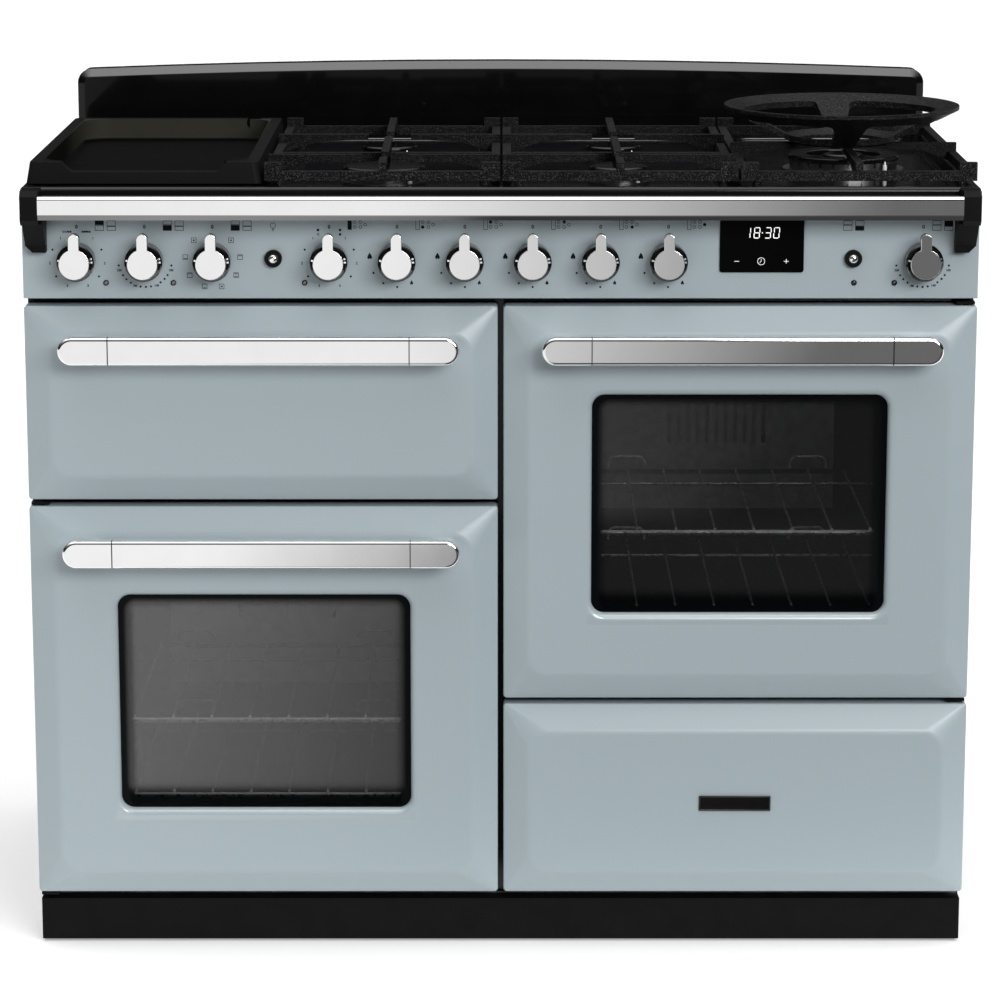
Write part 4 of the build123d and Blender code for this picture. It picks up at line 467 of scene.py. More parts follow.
def wire_finish():
    """Plated wire with painted light: painted highlights on the front rods, wire tips and hoops, painted
    shade on the back rods, the other wires and most of all in the left oven.
    """
    low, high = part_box("oven_shelves")
    finish = Finish("plated_wire", {})
    cloud = finish.noise(120.0)
    x, y, z = finish.axes()

    def at_levels(offset, half):
        """One on every shelf, within a band at this height over its rods."""
        heights = [z - (mid + offset) * MM for mid in SHELF_MIDS]
        return sum(finish.step(abs(height), half * MM, (half + 0.3) * MM, 1.0, 0.0) for height in heights)

    rod_zone, tip_zone, blur = 7 * MM, 13.5 * MM, 0.5 * MM
    front = finish.step(y, low.y + rod_zone - blur, low.y + rod_zone + blur, 1.0, 0.0)
    back = finish.step(y, high.y - rod_zone - blur, high.y - rod_zone + blur)
    left = finish.step(x, -0.05, 0.05, 1.0, 0.0)
    # tip marks the wire ends on each shelf and hoop the hoops at the back; both get painted highlights
    # below.
    tip = finish.step(y, low.y + tip_zone - blur, low.y + tip_zone + blur, 1.0, 0.0) * at_levels(3.2, 0.7)
    painted_hoop_glint = back * at_levels(17.0, 13.0) * (1.0 - left * 0.8)
    colour = finish.blend(cloud, grey(0.82), grey(0.94))
    # Painted shade: all but the front rods darken, far more in the left oven, and the back rods go near
    # black.
    colour = finish.blend((1.0 - front) * (left * 0.57 + 0.4), colour, grey(0.05))
    colour = finish.blend(back * at_levels(0.0, 3.3), colour, grey(0.01))
    # Painted highlights: the hoops and wire tips go bright white, and the crests of the front rods, the
    # tips and the hoops lose metal so they show pale.
    finish.set("Base Color", finish.blend(painted_hoop_glint | tip, colour, grey(0.92)))
    finish.set("Metallic", 1.0 - (front * at_levels(2.6, 0.9) | tip | painted_hoop_glint * 0.6))
    finish.vary(cloud, 0.22, 0.34)
    return finish.material


def pan_enamel_finish():
    finish = Finish("pan_enamel", {"Coat Weight": 0.3})
    fleck = finish.step(finish.noise(700.0, 1.0), 0.66, 0.72)
    finish.set("Base Color", finish.blend(fleck, grey(0.012), grey(0.30)))
    finish.vary(finish.noise(60.0), 0.18, 0.30)
    return finish.material


def element_finish():
    finish = Finish("heating_element", {"Metallic": 0.4})
    heat = finish.noise(28.0)
    finish.set("Base Color", finish.blend(heat, (0.05, 0.045, 0.04, 1), (0.11, 0.09, 0.075, 1)))
    finish.vary(heat, 0.45, 0.65)
    finish.bump(finish.noise(600.0), 0.10, 0.2 * MM)
    return finish.material


def brass_finish():
    finish = Finish("brass", {"Metallic": 1.0})
    cloud = finish.noise(50.0)
    finish.set("Base Color", finish.blend(cloud, (0.56, 0.39, 0.16, 1), (0.72, 0.53, 0.25, 1)))
    finish.vary(cloud, 0.20, 0.36)
    return finish.material


def plastic_finish(name, low, high, gloss):
    finish = Finish(name, {"Specular IOR Level": gloss})
    grain = finish.noise(1200.0)
    finish.set("Base Color", finish.blend(grain, grey(low), grey(high)))
    finish.vary(finish.noise(90.0), 0.40, 0.55)
    finish.bump(grain, 0.12, 0.15 * MM)
    return finish.material


def seal_finish():
    finish = Finish("braided_seal", {"Specular IOR Level": 0.2})
    braid = finish.noise(600.0, 2.0, (1, 1, 2.5))
    finish.set("Base Color", finish.blend(braid, grey(0.02), grey(0.09)))
    finish.vary(braid, 0.7, 0.9)
    finish.bump(braid, 0.5, 0.6 * MM)
    return finish.material


def ink_finish(colour):
    finish = Finish("panel_ink", {"Specular IOR Level": 0.04})
    cloud = finish.noise(400.0)
    finish.set("Base Color", finish.blend(cloud, shade(colour, 0.8), shade(colour, 1.3)))
    finish.vary(cloud, 0.42, 0.55)
    return finish.material


def digit_finish(colour):
    finish = Finish("lit_digits", {"Base Color": grey(0.8), "Emission Strength": 0.8})
    glow = finish.noise(900.0)
    finish.set("Emission Color", finish.blend(glow, shade(colour, 0.9), colour))
    finish.vary(glow, 0.3, 0.4)
    return finish.material


def lens_finish():
    finish = Finish("lamp_lens", {"Coat Weight": 0.8})
    facet = finish.noise(900.0)
    smoke = finish.blend(facet, (0.10, 0.085, 0.075, 1), (0.20, 0.17, 0.15, 1))
    right = finish.step(finish.axes()[0], 0.3, 0.35)
    finish.set("Base Color", finish.blend(right, smoke, (0.012, 0.014, 0.020, 1)))
    finish.vary(facet, 0.15, 0.3)
    return finish.material


def ceramic_white_finish():
    finish = Finish("igniter_ceramic", {})
    cloud = finish.noise(500.0)
    finish.set("Base Color", finish.blend(cloud, grey(0.62), grey(0.74)))
    finish.vary(cloud, 0.35, 0.5)
    return finish.material


def gunmetal_finish():
    finish = Finish("gunmetal", {"Metallic": 0.9})
    brush = finish.noise(260.0, 3.0, (0.1, 1, 1))
    finish.set("Base Color", finish.blend(brush, grey(0.05), grey(0.10)))
    finish.vary(brush, 0.26, 0.38)
    return finish.material


def fresh(piece_name):
    """The object that an operator has just added, named and alone in the selection."""
    piece = bpy.context.object
    piece.name = piece_name
    return piece


def clear():
    bpy.ops.object.select_all(action="DESELECT")


def pick(piece, test):
    """Leaves the piece in edit mode with only the faces selected that pass the test."""
    bpy.ops.object.mode_set(mode="EDIT")
    bpy.ops.mesh.select_mode(type="FACE")
    bpy.ops.mesh.select_all(action="DESELECT")
    bpy.ops.object.mode_set(mode="OBJECT")
    for face in piece.data.polygons:
        face.select = test(face)
    bpy.ops.object.mode_set(mode="EDIT")


def extrude(shift):
    bpy.ops.mesh.extrude_region_move(TRANSFORM_OT_translate={"value": shift})


def leave_edit():
    bpy.ops.mesh.select_all(action="SELECT")
    bpy.ops.mesh.normals_make_consistent(inside=False)
    bpy.ops.object.mode_set(mode="OBJECT")


def settle():
    bpy.ops.object.transform_apply(location=True, rotation=True, scale=True)


def soften(piece, width, segments=2):
    modifier = piece.modifiers.new("Soft edges", "BEVEL")
    modifier.width = width
    modifier.segments = segments
    modifier.limit_method = "ANGLE"
    bpy.ops.object.modifier_apply(modifier=modifier.name)
    bpy.ops.object.shade_smooth_by_angle(angle=math.radians(35))


def copy_to(piece, place):
    twin = piece.copy()
    twin.data = piece.data.copy()
    bpy.context.scene.collection.objects.link(twin)
    twin.data.transform(place)
    return twin


def drop(pieces):
    for piece in pieces:
        bpy.data.objects.remove(piece)


def joined(pieces, name):
    clear()
    for piece in pieces:
        piece.select_set(True)
    bpy.context.view_layer.objects.active = pieces[0]
    bpy.ops.object.join()
    return fresh(name)


def dress(piece, *materials):
    piece.data.materials.clear()
    for material in materials:
        piece.data.materials.append(material)


def knob_x(node):
    low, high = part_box(node)
    return (low.x + high.x) / 2


def sheet_disc(radius, sides):
    """A flat disc that faces the front."""
    clear()
    bpy.ops.mesh.primitive_circle_add(
        vertices=sides, radius=radius, fill_type="NGON", rotation=(math.pi / 2, 0, 0))
    settle()
    return fresh("template")


def sheet_box(width, height):
    """A flat rectangle that faces the front."""
    clear()
    bpy.ops.mesh.primitive_plane_add(size=1, rotation=(math.pi / 2, 0, 0))
    bpy.context.object.scale = (width, height, 1)
    settle()
    return fresh("template")


def opened(piece, line):
    """Leaves only a line round the edge of a flat sheet."""
    pick(piece, lambda face: True)
    bpy.ops.mesh.inset(thickness=line, depth=0)
    bpy.ops.mesh.delete(type="FACE")
    bpy.ops.object.mode_set(mode="OBJECT")
    return piece


def printed(piece, depth):
    """Gives a flat sheet its thickness of ink."""
    pick(piece, lambda face: True)
    extrude((0, -depth, 0))
    leave_edit()
    return piece


def flame_sheet(height):
    """A flat flame: a disc whose top is drawn out to a tip, hollow at the foot."""
    radius = height * 0.36
    piece = sheet_disc(radius, 16)
    for vertex in piece.data.vertices:
        rise = vertex.co.z / radius
        if rise > 0:
            vertex.co.x *= 1 - 0.6 * rise
            vertex.co.z *= 1.8
        elif rise < -0.99:
            vertex.co.z *= 0.35
    return piece


def digit_bar(length, width):
    """An upright bar with pointed ends."""
    piece = sheet_disc(width * 0.577, 6)
    for vertex in piece.data.vertices:
        vertex.co.z += math.copysign(length / 2 - width * 0.577, vertex.co.z)
    return piece


class Sheet:
    """Copies flat templates to their places on one upright plane."""

    def __init__(self, plane_y):
        self.plane_y = plane_y
        self.templates = {}
        self.pieces = []

    def template(self, key, make):
        if key not in self.templates:
            self.templates[key] = make()
        return self.templates[key]

    def put(self, key, make, x, z, turn=0.0):
        place = Matrix.Translation((x, self.plane_y, z)) @ Matrix.Rotation(turn, 4, "Y")
        self.pieces.append(copy_to(self.template(key, make), place))

    def write(self, words, size, x, z, depth):
        def make():
            clear()
            bpy.ops.object.text_add()
            text = bpy.context.object.data
            text.body = words
            text.size = size
            text.align_x = "CENTER"
            text.align_y = "CENTER"
            text.extrude = depth / 2
            text.offset = size * 0.035
            bpy.ops.object.convert(target="MESH")
            piece = fresh("template")
            piece.data.transform(FACING_FRONT)
            return piece
        self.put(("words", words, size), make, x, z)

    def finish(self, name):
        piece = joined(self.pieces, name)
        drop(self.templates.values())
        return piece


def round_dial(centre_x, radius, angle):
    """The point at an angle, clockwise from the top of a dial."""
    turn = math.radians(angle)
    return centre_x + radius * math.sin(turn), KNOB_Z + radius * math.cos(turn)


class DialMarks:
    """The print on the control panel."""

    OVEN_BOXES = {"grill": (-6.8, 43.4, 5.0), "left": (-6.8, 37.4, 6.4),
                  "right": (6.8, 42.6, 6.4), "drawer": (6.8, 36.8, 5.0)}
    HOB_RINGS = ((29.4, 38.4), (29.4, 44.2), (35.9, 44.2), (35.9, 38.4), (41.2, 41.2))

    def __init__(self, sizes):
        self.sizes = sizes
        self.sheet = Sheet(PANEL_Y)

    def ink(self, make):
        return lambda: printed(make(), self.sizes.ink_depth)

    def dot(self, centre_x, angle, radius=None):
        make = self.ink(lambda: sheet_disc(self.sizes.dot_radius, 10))
        self.sheet.put("dot", make, *round_dial(centre_x, radius or self.sizes.dial_radius, angle))

    def box(self, x, z, width, height):
        make = self.ink(lambda: sheet_box(width, height))
        self.sheet.put(("box", width, height), make, x, z)

    def line_box(self, x, z, width, height):
        make = self.ink(lambda: opened(sheet_box(width, height), self.sizes.line_width))
        self.sheet.put(("line box", width, height), make, x, z)

    def disc(self, x, z, radius, filled):
        sides = 18
        whole = self.ink(lambda: sheet_disc(radius, sides))
        ring = self.ink(lambda: opened(sheet_disc(radius, sides), self.sizes.line_width))
        self.sheet.put(("disc", radius, filled), whole if filled else ring, x, z)

    def flame(self, centre_x, angle, radius, height):
        make = self.ink(lambda: flame_sheet(height))
        self.sheet.put(("flame", height), make, *round_dial(centre_x, radius, angle))

    def words(self, words, size, x, z):
        self.sheet.write(words, size, x, z, self.sizes.ink_depth * 2)

    def zero(self, centre_x):
        self.words("0", 5.8 * MM, centre_x, KNOB_Z + 38.5 * MM)

    def oven_icon(self, centre_x, chosen):
        """Four boxes for the four fronts of the cooker, with the one that the control works filled in."""
        for oven, (x, z, height) in self.OVEN_BOXES.items():
            draw = self.box if oven == chosen else self.line_box
            draw(centre_x + x * MM, KNOB_Z + z * MM, 10.2 * MM, height * MM)

    def hob_icon(self, centre_x, chosen):
        """The hob from above, with the zone that the knob works filled in."""
        draw = self.box if chosen == 0 else self.line_box
        draw(centre_x + 23.6 * MM, KNOB_Z + 41 * MM, 4.7 * MM, 11.4 * MM)
        for number, (x, z) in enumerate(self.HOB_RINGS, start=1):
            self.disc(centre_x + x * MM, KNOB_Z + z * MM, 1.9 * MM, number == chosen)

    def power_dial(self, centre_x):
        for side in (-1, 1):
            for number, angle in ((1, 36), (2, 96), (3, 158)):
                x, z = round_dial(centre_x, 31.5 * MM, side * angle)
                self.words(str(number), 3.9 * MM, x, z)
            for angle in (66, 127):
                self.dot(centre_x, side * angle)

    def temperature_dial(self, centre_x):
        for angle in (101, 123.5, 134, 145.5, 168, 179, 190.5, 213, 225, 236, 259):
            self.dot(centre_x, angle)
        for number, angle in ((100, 111), (140, 156), (180, 202), (220, 249)):
            x, z = round_dial(centre_x, 31.6 * MM, angle)
            self.words(str(number), 3.6 * MM, x, z)

    def gas_dial(self, centre_x):
        self.flame(centre_x, 277, 31.5 * MM, 7.7 * MM)
        for angle in (242, 211, 180):
            self.dot(centre_x, angle)
        self.flame(centre_x, 148, 31.0 * MM, 5.0 * MM)

    def function_dial(self, centre_x):
        """Eight framed signs: fan, base heat, top heat and their mixes."""
        side = 6.0 * MM
        signs = {42.5: "fan", 83: "top", 122.5: "both", 162: "fan"}
        signs.update({198: "base", 237.5: "top", 277: "base", 317.5: "fan"})
        for angle, sign in signs.items():
            x, z = round_dial(centre_x, 31.5 * MM, angle)
            self.line_box(x, z, side, side)
            if sign == "fan":
                self.disc(x, z, 1.0 * MM, True)
            if sign in ("top", "both"):
                self.box(x, z + 1.5 * MM, 3.6 * MM, 0.7 * MM)
            if sign in ("base", "both"):
                self.box(x, z - 1.5 * MM, 3.6 * MM, 0.7 * MM)

    def bulb(self, x):
        self.disc(x, KNOB_Z + 40 * MM, 3.3 * MM, False)
        for step in range(3):
            self.box(x, KNOB_Z + (36.2 - 1.0 * step) * MM, (2.8 - 0.5 * step) * MM, 0.5 * MM)

    def square_rows(self, centre_x):
        """Rows that stand for the whole and the half width of the grill."""
        for step in range(-4, 4):
            draw = self.line_box if step < -2 else self.box
            offset = 5.45 + 2.7 * abs(step + 0.5)
            x = centre_x + math.copysign(offset, step + 0.5) * MM
            draw(x, KNOB_Z + 33 * MM, 2.1 * MM, 2.1 * MM)

    def square_stacks(self, centre_x):
        """Pairs that stand for both or one of the hot zones."""
        for side in (-1, 1):
            for height in (30, 35):
                draw = self.line_box if side < 0 and height == 30 else self.box
                draw(centre_x + side * 12.6 * MM, KNOB_Z + height * MM, 2.6 * MM, 2.6 * MM)

    def draw(self):
        for node in ALL_KNOBS:
            self.zero(knob_x(node))
        for node in POWER_KNOBS:
            self.power_dial(knob_x(node))
        for node in TEMPERATURE_KNOBS:
            self.temperature_dial(knob_x(node))
        for number, node in enumerate(GAS_KNOBS, start=1):
            self.gas_dial(knob_x(node))
            self.hob_icon(knob_x(node), number)
        self.function_dial(knob_x("left_function_knob"))
        self.square_rows(knob_x("grill_knob"))
        self.square_stacks(knob_x("hot_zone_knob"))
        self.hob_icon(knob_x("hot_zone_knob"), 0)
        beside = 33 * MM
        self.oven_icon(knob_x("grill_knob") + beside, "grill")
        self.oven_icon(knob_x("left_temperature_knob") + beside, "left")
        self.oven_icon(knob_x("left_function_knob") + beside, "left")
        self.oven_icon(knob_x("right_temperature_knob") + 22 * MM, "right")
        self.oven_icon(knob_x("drawer_button"), "drawer")
        self.bulb(knob_x("light_button"))
        return self.sheet.finish("dial_marks")


class COOKER_OT_finishes(Operator):
    """Gives every solid of the cooker its procedural finish"""

    bl_idname = "cooker.finishes"
    bl_label = "Finishes"

    def execute(self, context):
        colours = context.scene.cooker_colours
        made = {
            "paint": paint_finish(colours.paint),
            "chrome": chrome_finish(),
            "black_enamel": enamel_finish("gloss_enamel", colours.enamel, 0.22, 1.5),
            "black_paint": satin_black_finish(),
            "cast_iron": cast_iron_finish(),
            "burner_alloy": alloy_finish(),
            "clock_glass": black_glass_finish(),
            "ceramic": ceramic_finish(),
            "galvanised": galvanised_finish(),
            "wire": wire_finish(),
            "pan_enamel": pan_enamel_finish(),
            "element": element_finish(),
            "brass": brass_finish(),
            "switch": plastic_finish("switch_plastic", 0.003, 0.006, 0.1),
            "seal": seal_finish(),
            "roller": plastic_finish("roller_nylon", 0.10, 0.16, 0.45),
        }
        own = {
            "griddle": griddle_finish(),
            "handrail_bar": rail_finish(),
            "rear_upstand": upstand_finish(colours.enamel),
            "burner_caps": enamel_finish("cap_enamel", shade(colours.enamel, 0.5), 0.35, 1.5),
            "left_door_glass": glass_finish("left_door_glass"),
            "right_door_glass": glass_finish("right_door_glass"),
        }
        own.update({node: handle_finish(node) for node in HANDLES})
        own.update(dict.fromkeys(ALL_KNOBS, knob_finish()))
        for row in frame["record"]["subparts"]:
            node = row["node"]
            dress(frame["nodes"][node], own.get(node) or made[row["material_slot"]])
        return {"FINISHED"}


class COOKER_OT_dial_marks(Operator):
    """Prints the dial marks and symbols on the control panel"""

    bl_idname = "cooker.dial_marks"
    bl_label = "Dial marks"

    def execute(self, context):
        piece = DialMarks(context.scene.cooker_sizes).draw()
        dress(piece, ink_finish(context.scene.cooker_colours.ink))
        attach(piece, "cooker")
        return {"FINISHED"}


class COOKER_OT_clock_face(Operator):
    """Lights the digits and the touch signs of the clock"""

    bl_idname = "cooker.clock_face"
    bl_label = "Clock face"

    BARS = {"1": "bc", "8": "abcdefg", "3": "abgcd", "0": "abcdef"}
    HALF_WIDTH = 3.0 * MM
    HALF_HEIGHT = 5.9 * MM
    SLANT = 0.12

    def bar_places(self):
        quarter = self.HALF_HEIGHT / 2
        side = math.pi / 2
        return {"a": (0, self.HALF_HEIGHT, side), "d": (0, -self.HALF_HEIGHT, side), "g": (0, 0, side),
                "b": (self.HALF_WIDTH, quarter, 0), "c": (self.HALF_WIDTH, -quarter, 0),
                "f": (-self.HALF_WIDTH, quarter, 0), "e": (-self.HALF_WIDTH, -quarter, 0)}

    def execute(self, context):
        depth = context.scene.cooker_sizes.ink_depth
        sheet = Sheet(CLOCK_Y)
        bar_z = 851.5 * MM
        places = self.bar_places()
        for figure, x in (("1", 281.6), ("8", 292.2), ("3", 304.9), ("0", 314.6)):
            for bar in self.BARS[figure]:
                across, up, turn = places[bar]
                make = lambda: printed(digit_bar(5.4 * MM, 1.0 * MM), depth)
                sheet.put("bar", make, x * MM + across + self.SLANT * up, bar_z + up, turn)
        sheet.put("point", lambda: printed(sheet_disc(0.7 * MM, 10), depth), 298.3 * MM, bar_z)
        touch_z = 818.8 * MM
        sheet.put("dash", lambda: printed(sheet_box(5.4 * MM, 0.45 * MM), depth), 269.6 * MM, touch_z)
        sheet.put("dash", None, 326.0 * MM, touch_z)
        sheet.put("dash", None, 326.0 * MM, touch_z, math.pi / 2)
        sheet.put("ring", lambda: printed(opened(sheet_disc(4.3 * MM, 32), 0.4 * MM), depth),
                  297.4 * MM, touch_z)
        hand = lambda: printed(sheet_box(0.35 * MM, 2.8 * MM), depth)
        sheet.put("hand", hand, 297.4 * MM, touch_z + 1.4 * MM)
        sheet.put("hand", None, 296.5 * MM, touch_z - 0.9 * MM, math.radians(45))
        piece = sheet.finish("clock_digits")
        dress(piece, digit_finish(context.scene.cooker_colours.digits))
        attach(piece, "cooker")
        return {"FINISHED"}


class COOKER_OT_knob_rings(Operator):
    """Adds a fluted ring behind the face of each knob, with a painted glint on some teeth and a painted
    reflection on its lower part
    """

    bl_idname = "cooker.knob_rings"
    bl_label = "Knob rings"

    TEETH = 30
    OUTER = 20.0 * MM
    WIDTH = 2.6 * MM

    def toothed(self, face):
        if face.normal.y > -0.9:
            return False
        turn = math.atan2(face.center.x, face.center.z) % (2 * math.pi)
        return int(turn / math.pi * self.TEETH) % 2 == 0

    def execute(self, context):
        ring = opened(sheet_disc(self.OUTER, self.TEETH * 2), self.WIDTH)
        printed(ring, 0.3 * MM)
        pick(ring, self.toothed)
        extrude((0, -0.5 * MM, 0))
        bpy.ops.object.mode_set(mode="OBJECT")
        finishes = ("satin_black", "bright_chrome", "knob_chrome")
        dress(ring, *[bpy.data.materials[name] for name in finishes])
        # Painted light: raised teeth in a band just above the axis take bright chrome as a painted glint;
        # the lower part takes the knob finish, metal that shows lighter than the satin black above as a
        # painted reflection.
        for face in ring.data.polygons:
            raised = face.center.y < -0.4 * MM
            glint = raised and -0.5 * MM < face.center.z < 5 * MM
            face.material_index = 1 if glint else 2 if face.center.z < -7 * MM else 0
        for node in ALL_KNOBS:
            place = Matrix.Translation((knob_x(node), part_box(node)[0].y + KNOB_FACE_T, KNOB_Z))
            piece = copy_to(ring, place)
            piece.name = f"{node}_ring"
            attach(piece, node)
        drop([ring])
        return {"FINISHED"}


class COOKER_OT_pilot_lamps(Operator):
    """Adds the small pilot lamps under the knobs"""

    bl_idname = "cooker.pilot_lamps"
    bl_label = "Pilot lamps"

    PLACES = (-451, -374, -224, 404, 450)

    def execute(self, context):
        radius = context.scene.cooker_sizes.lamp_radius
        lamp = printed(sheet_disc(radius, 28), 1.0 * MM)
        pick(lamp, lambda face: face.normal.y < -0.9)
        bpy.ops.mesh.inset(thickness=radius * 0.26, depth=0)
        extrude((0, 0.5 * MM, 0))
        bpy.ops.mesh.inset(thickness=radius * 0.12, depth=0)
        extrude((0, -0.7 * MM, 0))
        bpy.ops.mesh.inset(thickness=radius * 0.2, depth=0)
        bpy.ops.transform.translate(value=(0, -0.4 * MM, 0))
        leave_edit()
        bpy.ops.object.shade_smooth_by_angle(angle=math.radians(40))
        dress(lamp, bpy.data.materials["satin_black"], lens_finish())
        for face in lamp.data.polygons:
            reach = math.hypot(face.center.x, face.center.z)
            face.material_index = 1 if reach < radius * 0.66 and face.center.y < -0.4 * MM else 0
        lamps = [copy_to(lamp, Matrix.Translation((x * MM, PANEL_Y, 793.8 * MM))) for x in self.PLACES]
        drop([lamp])
        piece = joined(lamps, "pilot_lamps")
        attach(piece, "cooker")
        return {"FINISHED"}


class COOKER_OT_badge_plate(Operator):
    """Adds the bare framed plate on the drawer front"""

    bl_idname = "cooker.badge_plate"
    bl_label = "Drawer plate"

    def execute(self, context):
        sizes = context.scene.cooker_sizes
        plate = sheet_box(sizes.badge_width, sizes.badge_height)
        printed(plate, 2.2 * MM)
        pick(plate, lambda face: face.normal.y < -0.9)
        bpy.ops.mesh.inset(thickness=1.6 * MM, depth=0)
        extrude((0, 0.7 * MM, 0))
        leave_edit()
        soften(plate, 0.5 * MM)
        dress(plate, bpy.data.materials["satin_black"], gunmetal_finish())
        edge = -1.9 * MM
        for face in plate.data.polygons:
            face.material_index = 1 if face.center.y < edge else 0
        plate.data.transform(Matrix.Translation((274.6 * MM, DRAWER_Y, 179.6 * MM)))
        plate.name = "drawer_plate"
        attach(plate, "drawer")
        return {"FINISHED"}


class COOKER_OT_hob_beads(Operator):
    """Adds the raised bead round each burner bay of the hob"""

    bl_idname = "cooker.hob_beads"
    bl_label = "Hob beads"

    BAYS = (-135, 137, 409)
    DEPTHS = (34, 543)
    FLOOR_Z = 897 * MM

    def execute(self, context):
        sizes = context.scene.cooker_sizes
        near, far = (PANEL_Y + depth * MM for depth in self.DEPTHS)
        clear()
        bpy.ops.mesh.primitive_plane_add(size=1)
        bead = fresh("template")
        bead.scale = (sizes.bead_span, far - near, 1)
        settle()
        pick(bead, lambda face: True)
        bpy.ops.mesh.bevel(offset=22 * MM, offset_type="OFFSET", segments=8, affect="VERTICES")
        bpy.ops.mesh.select_all(action="SELECT")
        bpy.ops.mesh.inset(thickness=3.2 * MM, depth=0)
        bpy.ops.mesh.delete(type="FACE")
        bpy.ops.mesh.select_all(action="SELECT")
        extrude((0, 0, 1.8 * MM))
        leave_edit()
        soften(bead, 1.2 * MM, 3)
        dress(bead, enamel_finish("bead_enamel", context.scene.cooker_colours.enamel, 1.0, 2.0))
        spots = [Matrix.Translation((x * MM, (near + far) / 2, self.FLOOR_Z)) for x in self.BAYS]
        beads = [copy_to(bead, spot) for spot in spots]
        drop([bead])
        piece = joined(beads, "hob_beads")
        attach(piece, "cooker")
        return {"FINISHED"}


class COOKER_OT_igniters(Operator):
    """Adds a spark igniter beside each burner"""

    bl_idname = "cooker.igniters"
    bl_label = "Igniters"

    BURNERS = ((-135, 96, 42), (-135, 306, 28), (137, 96, 28), (137, 306, 28), (409, 218, 64))
    FOOT_Z = 899 * MM

    def execute(self, context):
        clear()
        bpy.ops.mesh.primitive_cylinder_add(
            vertices=16, radius=2.4 * MM, depth=10 * MM, location=(0, 0, 5 * MM))
        settle()
        stem = fresh("template")
        pick(stem, lambda face: face.normal.z > 0.9)
        bpy.ops.mesh.inset(thickness=1.3 * MM, depth=0)
        extrude((0, 0, 4 * MM))
        leave_edit()
        soften(stem, 0.3 * MM)
        dress(stem, ceramic_white_finish(), bpy.data.materials["burner_alloy"])
        for face in stem.data.polygons:
            face.material_index = 1 if face.center.z > 10.5 * MM else 0
        stems = []
        turn = math.radians(-50)
        for x, depth, radius in self.BURNERS:
            reach = (radius + 5.5) * MM
            across, along = reach * math.cos(turn), reach * math.sin(turn)
            spot = (x * MM + across, PANEL_Y + depth * MM + along, self.FOOT_Z)
            stems.append(copy_to(stem, Matrix.Translation(spot)))
        drop([stem])
        piece = joined(stems, "burner_igniters")
        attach(piece, "cooker")
        return {"FINISHED"}


class COOKER_OT_back_screws(Operator):
    """Adds the screws that hold the back panel"""

    bl_idname = "cooker.back_screws"
    bl_label = "Back screws"

    COLUMNS = (-525, -270, 0, 270, 525)
    ROWS = (75, 270, 470, 670, 865)

    def execute(self, context):
        radius = context.scene.cooker_sizes.screw_radius
        screw = printed(sheet_disc(radius, 18), 1.6 * MM)
        pick(screw, lambda face: face.normal.y < -0.9)
        bpy.ops.mesh.inset(thickness=radius * 0.45, depth=0)
        extrude((0, 0.8 * MM, 0))
        leave_edit()
        soften(screw, 0.4 * MM)
        dress(screw, bpy.data.materials["galvanised_sheet"])
        screw.data.transform(Matrix.Rotation(math.pi, 4, "Z"))
        edge_x = (self.COLUMNS[0], self.COLUMNS[-1])
        edge_z = (self.ROWS[0], self.ROWS[-1])
        spots = [(x, z) for x in self.COLUMNS for z in self.ROWS if x in edge_x or z in edge_z]
        back_y = PANEL_Y + 571.2 * MM
        screws = [copy_to(screw, Matrix.Translation((x * MM, back_y, z * MM))) for x, z in spots]
        drop([screw])
        piece = joined(screws, "back_screws")
        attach(piece, "cooker")
        return {"FINISHED"}


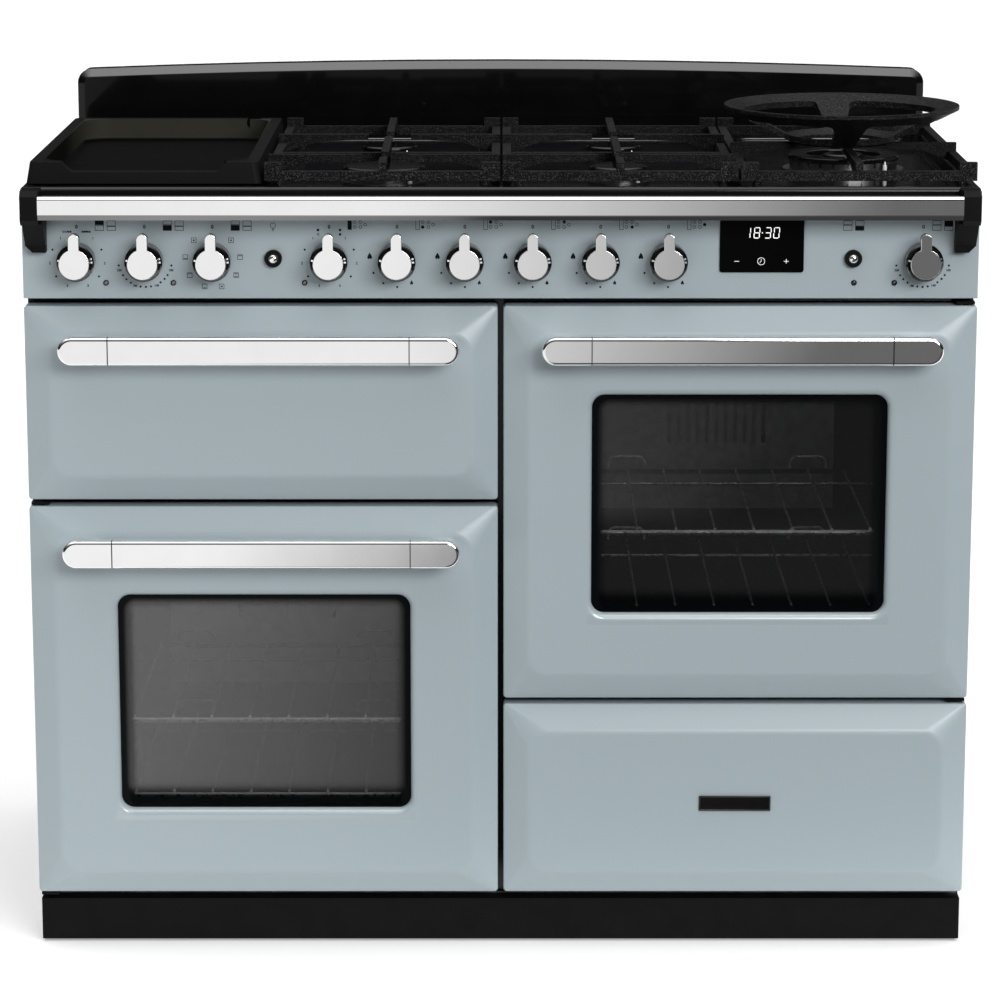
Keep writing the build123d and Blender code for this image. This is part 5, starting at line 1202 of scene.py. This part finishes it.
class COOKER_OT_stage(Operator):
    """Sets the floor, the studio lights and the camera"""

    bl_idname = "cooker.stage"
    bl_label = "Studio"

    CAMERA_PLACE = (0, PANEL_Y - 4.177, 1.4277)
    FRONT_LIGHT = {"place": (2.2, -4.5, 2.55), "target": (0, 0, 0.5), "size": (3.4, 1.6), "power": 186}
    DOME_LIGHT = 3.1
    DOME_FALL = 4.0
    DOME_BASE = 0.02

    def floor(self):
        clear()
        bpy.ops.mesh.primitive_grid_add(x_subdivisions=20, y_subdivisions=20, size=80)
        piece = fresh("floor")
        constants = {"Specular IOR Level": 0.0, "Roughness": 0.9, "Emission Strength": 1.0}
        finish = Finish("studio_floor", constants)
        x, y, _ = finish.axes()
        far = finish.ramp(x / (0.0 - y | 0.1), -0.05, 0.16, 0.93, 0.145)
        card = finish.step(x, -0.05, 0.1) * finish.step(y, -4.1, -3.9)
        far = far * (1.0 - 0.55 * card)
        middle = finish.ramp(x, -0.5, -0.1, 0.98, 0.40) * finish.step(x, -0.10, 0.0, 1.0, 0.2)
        near = finish.step(y, -0.56, -0.48)
        ahead = finish.step(y, -2.75, -2.55)
        glow = finish.merge(finish.merge(far, middle, ahead), 0.26, near)
        finish.set("Base Color", finish.blend(near, grey(0.0), grey(0.80)))
        finish.set("Emission Color", finish.blend(glow, grey(0.0), grey(1.0)))
        dress(piece, finish.material)

    def light(self, name, place, target, size, power):
        clear()
        bpy.ops.object.light_add(type="AREA", location=place)
        lamp = fresh(name)
        lamp.data.shape = "RECTANGLE"
        lamp.data.size, lamp.data.size_y = size
        lamp.data.energy = power
        aim = Vector(target) - Vector(place)
        lamp.rotation_euler = aim.to_track_quat("-Z", "Y").to_euler()

    def sky(self, context):
        """A soft dome that is bright overhead and dark at the horizon."""
        world = bpy.data.worlds.new("studio_dome")
        context.scene.world = world
        world.use_nodes = True
        bench = NodeBench(world.node_tree)
        height = bench.axes()[2] | 0.0
        backdrop = world.node_tree.nodes["Background"]
        bench.join(backdrop.inputs["Strength"], height ** self.DOME_FALL * self.DOME_LIGHT + self.DOME_BASE)
        backdrop.inputs["Color"].default_value = grey(1.0)

    def camera(self, context):
        clear()
        bpy.ops.object.camera_add(location=self.CAMERA_PLACE, rotation=(math.radians(78), 0, 0))
        camera = fresh("photo_camera")
        camera.data.sensor_width = 36
        camera.data.lens = 132.8
        camera.data.shift_x = -0.0006
        camera.data.clip_end = 200
        context.scene.camera = camera

    def execute(self, context):
        self.floor()
        self.light("front_light", **self.FRONT_LIGHT)
        for side, high in ((-1, 0.49), (1, 0.725)):
            place = (side * 0.275, PANEL_Y + 0.10, high)
            self.light(f"oven_light_{high}", place, (side * 0.275, PANEL_Y + 0.13, 0), (0.36, 0.05), 0.25)
        self.sky(context)
        context.scene.view_settings.view_transform = "Standard"
        self.camera(context)
        return {"FINISHED"}


class COOKER_PT_sidebar(Panel):
    """Lists the steps that dress the cooker"""

    bl_idname = "COOKER_PT_sidebar"
    bl_label = "Range cooker"
    bl_space_type = "VIEW_3D"
    bl_region_type = "UI"
    bl_category = "Cooker"

    def draw(self, context):
        for step in STEPS:
            self.layout.operator(step.bl_idname)
        for group in (context.scene.cooker_sizes, context.scene.cooker_colours):
            for name in group.__annotations__:
                self.layout.prop(group, name)


STEPS = (
    COOKER_OT_finishes, COOKER_OT_dial_marks, COOKER_OT_clock_face, COOKER_OT_knob_rings,
    COOKER_OT_pilot_lamps, COOKER_OT_badge_plate, COOKER_OT_hob_beads, COOKER_OT_igniters,
    COOKER_OT_back_screws, COOKER_OT_stage,
)
CLASSES = (CookerSizes, CookerColours) + STEPS + (COOKER_PT_sidebar,)


def register():
    for item in CLASSES:
        bpy.utils.register_class(item)
    bpy.types.Scene.cooker_sizes = PointerProperty(type=CookerSizes)
    bpy.types.Scene.cooker_colours = PointerProperty(type=CookerColours)


def unregister():
    del bpy.types.Scene.cooker_colours
    del bpy.types.Scene.cooker_sizes
    for item in reversed(CLASSES):
        bpy.utils.unregister_class(item)


def main():
    register()
    for step in STEPS:
        group, name = step.bl_idname.split(".")
        getattr(getattr(bpy.ops, group), name)()


if __name__ == "__main__":
    main()
